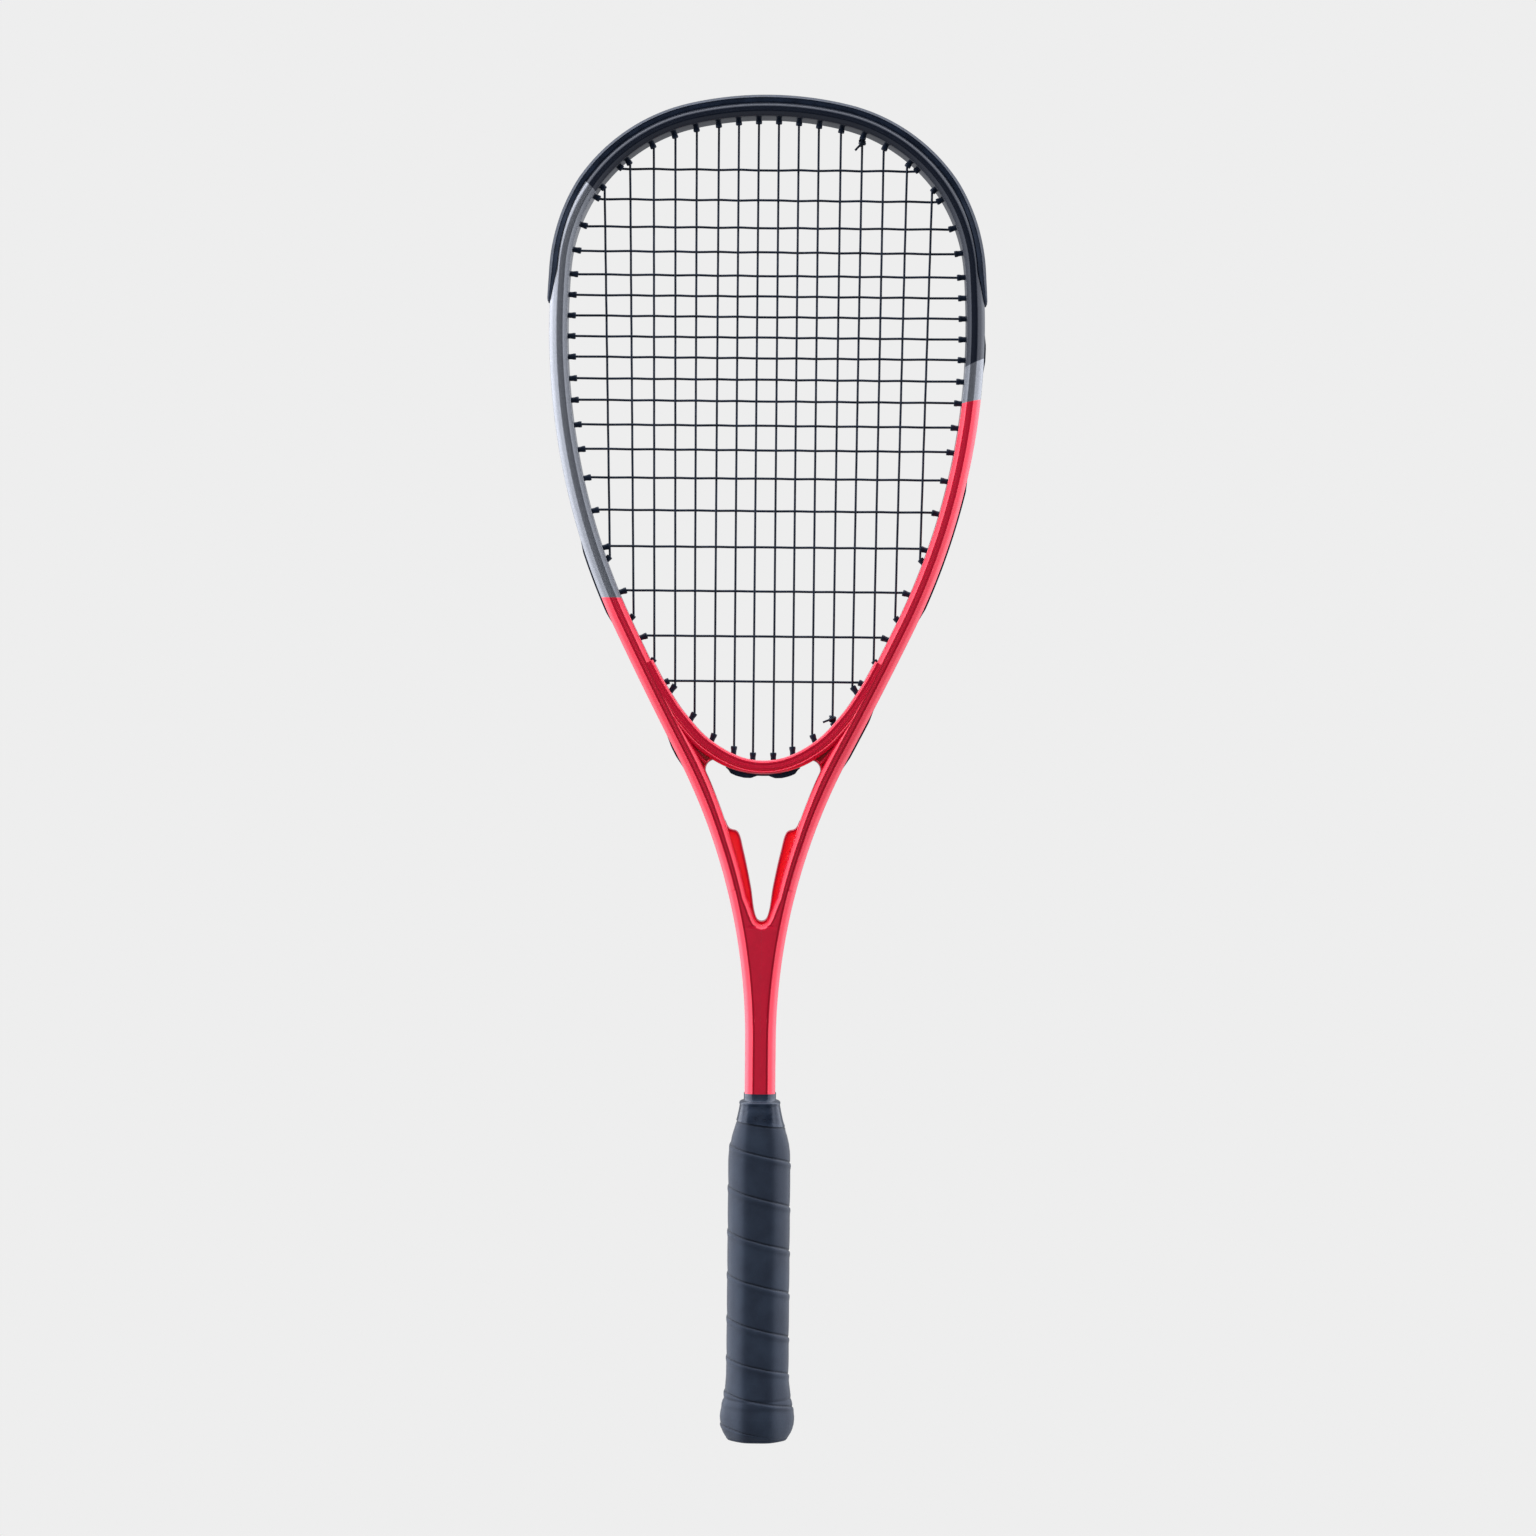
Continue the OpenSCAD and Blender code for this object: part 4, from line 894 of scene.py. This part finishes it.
# ---- Strings ----
WEAVE_MAIN, WEAVE_CROSS = 0.5, 0.82      # how far each goes out of the mid-plane


def main_x_at(i, z, side=-1):
    """Distance of main string i from the middle at height z."""
    a, b = low_at(i, side)[0], TOPS[i][0]
    return a[0] + (b[0] - a[0]) * (z - a[1]) / (b[1] - a[1])


def over(i, k):
    """1 where main string i passes in front of cross string k, else -1."""
    return 1.0 if (i + k) % 2 == 0 else -1.0


def weave(values, knots, offsets, past_ends):
    """Sideways offset that has its given value at each knot and fades past the ends."""
    order = np.argsort(knots)
    k, y = np.asarray(knots)[order], np.asarray(offsets)[order]
    k = np.concatenate([[k[0] - past_ends[0]], k, [k[-1] + past_ends[1]]])
    y = np.concatenate([[0], y, [0]])
    i = np.clip(np.searchsorted(k, values) - 1, 0, len(k) - 2)
    u = np.clip((values - k[i]) / (k[i + 1] - k[i]), 0, 1)
    return y[i] + (y[i + 1] - y[i]) * (0.5 - 0.5 * np.cos(np.pi * u))


def main_strings(material):
    b = Batch()
    for side in (1, -1):
        for i in range(MAINS):
            low, high = low_at(i, side)[0][1], TOPS[i][0][1]
            z = np.linspace(low - 1.4, high + 1.4, 240)
            met = [k for k in range(CROSSES) if low < CROSS_Z[k] < high]
            offsets = [-WEAVE_MAIN * over(i, k) for k in met]
            y = weave(z, CROSS_Z[met], offsets, (CROSS_Z[met[0]] - low, high - CROSS_Z[met[-1]]))
            b.add(*tube(np.stack([side * main_x_at(i, z, side), y, z], 1), STRING_R))
    return b.done("main_strings_woven", material)


def cross_strings(material):
    b = Batch()
    for k, z in enumerate(CROSS_Z):
        tip = SIDES[k][0][0]
        met = [i for i in range(MAINS) if LOWS[i][0][1] < z < TOPS[i][0][1] and main_x_at(i, z) < tip - 0.8]
        at = np.array([main_x_at(i, z) for i in met])
        offsets = np.array([WEAVE_CROSS * over(i, k) for i in met])
        x = np.linspace(-tip - 1.3, tip + 1.3, 300)
        y = weave(x, np.concatenate([-at, at]), np.concatenate([offsets, offsets]), (tip - at[-1],) * 2)
        b.add(*tube(np.stack([x, y, np.full_like(x, z)], 1), STRING_R, across=(0, 0, 1)))
    return b.done("cross_strings_woven", material)


LOOP_T = 1.2             # depth at which the string runs in the groove
LANE = 1.38              # its distance from the groove's middle
BEND, RAMP = 0.7, 4.0    # lengths of its bend and of its way over to the lane


def exit_s(g):
    """Length down the path at which a grommet's axis comes out on the string's depth."""
    tip, d, s = g
    lo, hi = (S_WIDEST, PATH_END) if s is None else (max(0, s - 25), s + 25)

    def side_of_axis(q):
        x, z = at_depth(q, LOOP_T) - tip
        return x * d[1] - z * d[0]

    return solve(side_of_axis, lo, hi)


def into(g, side, lengths):
    """Points on a grommet's axis, at lengths short of where it comes out."""
    x, z = at_depth(exit_s(g), LOOP_T)
    return [[side * (x - g[1][0] * k), 0, z - g[1][1] * k] for k in lengths]


def loop(b, g, gs, h, hs, lane, tied=False):
    """A length of string outside the hoop, from grommet g on side gs to grommet h on
    side hs. A tied end stops inside its last grommet."""
    s0, s1 = gs * exit_s(g), hs * exit_s(h)
    far, way = abs(s1 - s0), math.copysign(1, s1 - s0)
    middle = [far / 2]
    if far > 2.5 * RAMP:
        middle = np.linspace(RAMP, far - RAMP, max(2, int(far / 9)))
    lift = 1.3 if tied and s1 < S_WIDEST else 0.0
    points = into(g, gs, (6, 3, BEND))
    for k in [BEND, *middle, far - BEND]:
        y = lane * min(1, k / RAMP, (far - k) / RAMP)
        s = s0 + way * k
        x, z = at_depth(abs(s), LOOP_T - lift * min(1, k / RAMP))
        points.append([math.copysign(x, s), y, z])
    points += into(h, hs, (BEND, 3))
    b.add(*tube(smooth_line(points, 4), STRING_R))


def bridge_loop(b, side):
    """The length under the bridge between its two mains on one side."""
    r = BRIDGE_R + 9.1
    ends = []
    for tip, d, _ in LOWS[:2]:
        q = tip - BRIDGE_C
        k = -(q @ d) + math.sqrt((q @ d) ** 2 - q @ q + r * r)
        ends.append((tip + d * k, d))
    (p, d), (q, e) = ends
    first, last = (math.degrees(math.atan2(x[0], BRIDGE_C[1] - x[1])) for x, _ in ends)
    arc = [BRIDGE_C + r * np.array([sind(a), -cosd(a)]) for a in np.linspace(first + 0.7, last - 0.7, 5)]
    line = [p - d * 4, p - d * BEND] + arc + [q - e * BEND, q - e * 4]
    b.add(*tube(smooth_line([[side * x[0], 0, x[1]] for x in line], 4), STRING_R))


def string_outside(material):
    b = Batch()
    loop(b, TOPS[0], -1, TOPS[0], 1, LANE)
    for side in (-1, 1):
        for i in range(1, MAINS - 1, 2):
            loop(b, TOPS[i], side, TOPS[i + 1], side, LANE)
        for i in range(2, MAINS, 2):
            loop(b, low_at(i, side), side, low_at(i + 1, side), side, LANE)
        bridge_loop(b, side)
    for k in range(CROSSES - 1, 1, -2):
        loop(b, SIDES[k], 1, SIDES[k - 1], 1, -LANE)
    for k in range(CROSSES - 2, 0, -2):
        loop(b, SIDES[k], -1, SIDES[k - 1], -1, -LANE)
    loop(b, TOPS[-1], -1, SIDES[-1], -1, LANE)
    loop(b, TOPS[-1], 1, TOPS[TIE_TOP], 1, 0.6, tied=True)
    loop(b, SIDES[0], 1, TIED_LOW, 1, -LANE, tied=True)
    return b.done("string_loops_laid", material)


# Knots: grommet, main string, up or down from the tip, heading of the tail
KNOTS = [(TOPS[TIE_TOP], TIE_TOP, -1, 227), (TIED_LOW, TIE_LOW, 1, 200)]
KNOT_TURNS, KNOT_R, KNOT_H, TAIL = 2.2, 1.24, 2.6, 5.2


def string_knots(material):
    """Each string end is wound round a main string at its grommet, and cut to a tail."""
    b = Batch()
    for (tip, _, _), i, way, heading in KNOTS:
        u = np.linspace(0, 1, 44)
        z = tip[1] + way * (0.35 + KNOT_H * u)
        turn = np.radians(heading - 360 * KNOT_TURNS * (1 - u))
        swell = KNOT_R + 0.1 * np.sin(np.pi * u)
        coil = np.stack([main_x_at(i, z, 1) + swell * np.cos(turn), -swell * np.sin(turn), z], 1)
        b.add(*tube(coil, STRING_R, across=(0, 0, 1)))
        # a hitch over the coil holds it, and its end is the tail
        middle = np.array([main_x_at(i, z[22], 1), 0, z[22]])
        out = np.array([cosd(heading), 0, sind(heading)])
        hitch = [(1.5, -1.2, 0.5 * way), (0.7, -2.2, 0.2 * way), (-0.5, -2.2, 0),
                 out * 1.9 + [0, -1.5, 0], out * 3.6 + [0, -1.2, 0], out * TAIL + [0, -1.3, -0.1]]
        b.add(*tube(smooth_line(middle + hitch, 6), STRING_R * 0.92, across=(0, 0.3, 1)))
    return b.done("string_knots_tied", material)


# ---- Handle ----
# Half width of the handle by height
WIDE = [(2.0, 16.4), (4, 17.7), (6, 18.5), (8, 19.1), (10, 19.35), (12, 19.4), (14, 19.1), (16, 18.6),
        (18, 18.2), (20, 17.8), (22, 17.35), (24.5, 16.95), (28.6, 16.4), (33, 16.0), (60, 15.95),
        (143, 15.9), (147, 15.65), (151, 15.05), (155, 14.1), (159, 12.8), (163, 11.5), (167.5, 10.5),
        (171.6, 9.75), (173, 9.6)]
WIDE_Z, WIDE_A = np.array(WIDE).T
GRIP_A, GRIP_B = 15.9, 13.8          # half width and half depth along the grip
NECK_A, NECK_B = 9.7, 11.4           # the same at its top
SEAM_Z = [180.0, 161.3, 141.5, 118.9, 96.6, 74.8, 52.5, 33.8, 17.1, 0.0]   # seams on the right
TURN_W = 21.5                        # height of one turn of the wrap
BUTT_Z, GRIP_TOP = 2.0, 163.6


def bell(x, width):
    """1 where x is zero, falling off over width on both sides."""
    return np.exp(-((x / width) ** 2))


def rounded(power, *flats):
    """Distance to an outline of flats, whose corners are rounder for a lower power."""
    return sum(np.abs(f) ** power for f in flats) ** (-1 / power)


def handle_radius(z, q):
    """Distance from the axis to the eight-sided handle at height z and angle q."""
    a = np.interp(z, WIDE_Z, WIDE_A)
    k = np.clip((a - NECK_A) / (GRIP_A - NECK_A), 0, None)
    b = np.where(k <= 1, NECK_B + (GRIP_B - NECK_B) * k, GRIP_B + (a - GRIP_A) * 0.5)
    c = (b + 7.5 * (0.75 + 0.25 * np.minimum(1, k))) / math.sqrt(2)
    return rounded(11.0, cosd(q) / a, sind(q) / b, cosd(q - 45) / c, cosd(q + 45) / c)


def seam_phase(z, q):
    """Turns below the seam of the wrap: 0 just under a seam, 1 just above the next."""
    turn = np.interp(z, SEAM_Z[::-1], list(range(len(SEAM_Z)))[::-1])
    return (turn - q / 360.0) % 1.0


def wrap_shape(z, q):
    """How far the wrap stands proud of the handle, and 1 at its seams, falling to 0."""
    u = seam_phase(z, q)
    v = u * TURN_W
    w = (1 - u) * TURN_W
    groove = -0.62 * bell(v, 0.42) - 0.62 * bell(w, 0.3)
    lip = 0.34 * bell(v - 1.7, 1.5)
    crown = 0.12 * np.sin(np.pi * u) - 0.1 * bell(w, 2.6)
    return groove + lip + crown, bell(np.minimum(v, w), 0.55)


def tape_edge(q):
    """Height of the finishing tape's slanted lower edge at angle q."""
    return 161.7 - 1.6 * cosd(q)


def grip_skin(material):
    """The wrapped grip, its ends turned in to the core."""
    q = np.linspace(0, 360, 145)[:-1]
    rows = [round_row(handle_radius(BUTT_Z, q) - 1.8, q, BUTT_Z)]
    seams = [0.0] * len(q)
    for z in np.concatenate([[BUTT_Z], np.linspace(2.4, GRIP_TOP, 420)]):
        proud_by, dark = wrap_shape(z, q)
        fade = np.interp(z, [BUTT_Z, 6.0], [0.0, 1.0])
        # a crease and a swell round the flare, and a dent where the tape's edge presses in, also painted
        # darker there as a painted shadow under the tape
        waist = -0.35 * bell(z - 21.2, 0.8) + 0.2 * bell(z - 18.4, 1.2)
        tape_dent_and_shadow = bell(z - tape_edge(q) + 0.55, 0.5)
        rows.append(round_row(handle_radius(z, q) + proud_by * fade + waist - 0.3 * tape_dent_and_shadow, q, z))
        # the seam values also hold the painted shadow under the tape's edge
        seams += list(np.maximum(dark * fade, tape_dent_and_shadow))
    rows.append(round_row(handle_radius(GRIP_TOP, q) - 1.9, q, GRIP_TOP))
    seams += [0.0] * len(q)
    return Batch(rows).done("grip_wrap", material, attrs={"seam": seams})


def butt_end(material):
    """The cap's flat end, with its rounded edge: height, distance in from the grip."""
    prof = [(0.0, 4.6), (0.0, 3.4), (0.05, 2.2), (0.35, 1.2), (1.0, 0.6), (1.6, 0.35), (2.3, 0.4), (2.6, 2.4)]
    q = np.linspace(0, 360, 97)[:-1]
    rows = [round_row(handle_radius(BUTT_Z, q) - inset, q, z) for z, inset in prof]
    return Batch(rows).done("butt_cap_end", material, sharp=40)


def shaft_radius(q, grow):
    """Distance to the shaft's bevelled outline, grown by grow."""
    x, y = SHAFT_HALF + grow, FACE + grow
    k = math.hypot(BEVEL_W, FACE - SIDE_D)
    nx, ny = (FACE - SIDE_D) / k, BEVEL_W / k
    c = nx * SHAFT_HALF + ny * SIDE_D + grow
    u, v = nx * cosd(q), ny * sind(q)
    return rounded(16.0, cosd(q) / x, sind(q) / y, (u + v) / c, (u - v) / c)


def finishing_tape(material):
    """The tape over the grip's top end, drawn in to a collar round the shaft."""
    q = np.linspace(0, 360, 121)[:-1]
    low = tape_edge(q)
    rows = []
    for u in np.linspace(0, 1, 16):
        z = low + (171.2 - low) * u
        rows.append(round_row(handle_radius(z, q) + 0.42 + 0.1 * bell(z - low, 0.7), q, z))
    base = handle_radius(171.4, q)
    neck = shaft_radius(q, 0.45)
    # height, share of the way in from the handle to the collar, and what it stands proud
    shoulder = [(171.9, 0.0, 0.75), (172.5, 0.08, 0.7), (173.0, 0.35, 0.35), (173.3, 0.75, 0.1),
                (173.7, 1.0, 0.0), (175.0, 1.0, -0.02), (176.6, 1.0, 0.0), (177.0, 1.0, -0.05),
                (177.05, 1.0, -0.3)]
    for z, share, more in shoulder:
        rows.append(round_row(base * (1 - share) + neck * share + more, q, z))
    rows += [round_row(shaft_radius(q, 0.05), q, z) for z in (177.0, 173.2)]
    rows.append(round_row(handle_radius(low, q) + 0.05, q, low))
    faces = grid_faces(len(rows), len(q), close_rows=True)
    return add_mesh("finishing_tape_wrap", np.concatenate(rows), faces, material, sharp=60)


# ---- Build ----
lacquer = lacquer_material()
nylon = plastic_material("grommet_nylon", "#0B111C", "#141C2A", 0.4, 0.36)
string = string_material()
grip = grip_material()
vinyl = tape_material()
core = plastic_material("handle_core", "#33383F", "#454B53", 0.5)
cap = plastic_material("butt_rubber", "#1A202A", "#242B37", 0.5)


def place(obj, *nodes):
    """Rides a piece on the body, in place of the CAD nodes that it shows finer."""
    if nodes:
        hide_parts(*nodes)
    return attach(obj, BODY)


place(make_frame(lacquer), "frame")
place(bridge_bar(lacquer))
place(throat_webs(lacquer))
place(bumper_guard(nylon), "bumper_guard")
place(side_strip(nylon, 1), "right_grommet_strip")
place(side_strip(nylon, -1), "left_grommet_strip")
place(bridge_strip(nylon), "bridge_grommet_strip")
place(main_strings(string), "main_strings")
place(cross_strings(string), "cross_strings")
place(string_outside(string), "string_loops")
place(string_knots(string), "string_knots")
place(grip_skin(grip), "grip_tape")
place(butt_end(cap), "butt_cap")
place(finishing_tape(vinyl), "finishing_tape")
pallet = frame["nodes"]["handle_pallet"]
pallet.data.materials.clear()
pallet.data.materials.append(core)


# ---- Camera, lights and backdrop, in metres ----
PHOTO_GREY = (0.855, 0.855, 0.855)       # of the photograph's backdrop
EYE = (0.00256, -1.8, 0.3429)
LENS = 82.6
CAMERA_LEAN = math.radians(0.536)        # the racket leans by this in the photograph


def camera():
    """Looks level along Y, square to the strings."""
    cam = bpy.data.cameras.new("camera")
    cam.lens = LENS
    cam.sensor_width = 36
    cam.clip_start, cam.clip_end = 0.05, 50
    right = (math.cos(CAMERA_LEAN), 0, math.sin(CAMERA_LEAN))
    up = (-math.sin(CAMERA_LEAN), 0, math.cos(CAMERA_LEAN))
    back = (0, -1, 0)
    ob = add_object("camera", cam)
    ob.matrix_world = Matrix((*zip(right, up, back, EYE), (0, 0, 0, 1)))
    bpy.context.scene.camera = ob


# Studio light by angle from the camera's side round to the backdrop, in radiance
STUDIO = [(0, 0.25), (8, 0.24), (17, 0.10), (50, 0.08), (60, 2.4), (71, 3.0), (82, 1.7), (91, 1.8),
          (102, 3.4), (122, 3.45), (138, 0.5), (180, 0.3)]
STUDIO_MAX = 3.5
STUDIO_COLOUR = (0.95, 0.98, 1.06)


def world():
    """A soft ring of light round the racket, dim in front of it, before a plain backdrop."""
    w = bpy.data.worlds.new("studio")
    bpy.context.scene.world = w
    m = Nodes(w)
    m.tree.nodes.clear()
    x, y, z = m.node("SeparateXYZ", m.node("TexCoord").outputs["Generated"]).outputs
    angle = m.math("DIVIDE", m.math("ARCCOSINE", m.times(y, -1.0)), math.pi)
    ring = m.node("ValToRGB", angle)
    stops = ring.color_ramp.elements
    while len(stops) < len(STUDIO):
        stops.new(0.5)
    for e, (deg, light) in zip(stops, STUDIO):
        e.position = deg / 180
        e.color = (light / STUDIO_MAX,) * 3 + (1,)
    # weaker from below, a little stronger from the left
    low = m.span(z, -0.85, 0.15, 0.2, 1.0)
    left = m.math("MULTIPLY_ADD", x, -0.14, 1.0)
    level = m.times(m.times(ring.outputs[0], low), left)
    studio = m.node("Background", STUDIO_COLOUR, m.times(level, STUDIO_MAX))
    backdrop = m.node("Background", PHOTO_GREY)
    seen = m.node("LightPath").outputs["Is Camera Ray"]
    mix = m.node("MixShader", seen, studio.outputs[0], backdrop.outputs[0])
    m.node("OutputWorld", mix.outputs[0])


def floor(radius, below, sides=64):
    """A plain pale floor just under the butt, of the backdrop's grey, that the light passes."""
    m = new_material("floor_grey")
    m.tree.nodes.clear()
    m.node("OutputMaterial", m.node("Emission", PHOTO_GREY).outputs[0])
    turn = [2 * math.pi * i / sides for i in range(sides)]
    mesh = bpy.data.meshes.new("floor")
    mesh.from_pydata([(radius * math.cos(a), radius * math.sin(a), -below) for a in turn], [], [range(sides)])
    mesh.materials.append(m.owner)
    ob = add_object("floor", mesh)
    ob.visible_diffuse = False
    ob.visible_glossy = False
    ob.visible_shadow = False


def lamp(name, where, look, size, power):
    """A soft panel that lights the paint but isn't mirrored in its gloss."""
    d = bpy.data.lights.new(name, "AREA")
    d.shape = "RECTANGLE"
    d.size = size
    d.size_y = size
    d.energy = power
    o = add_object(name, d)
    o.location = where
    o.rotation_euler = (Vector(look) - Vector(where)).to_track_quat("-Z", "Y").to_euler()
    o.visible_camera = False
    o.visible_glossy = False


camera()
world()
floor(radius=0.15, below=0.002)
lamp("front_fill", (-0.5, -2.6, 0.9), (0, 0, 0.35), size=1.6, power=39)
bpy.context.scene.view_settings.view_transform = "Standard"
bpy.context.scene.view_settings.look = "None"
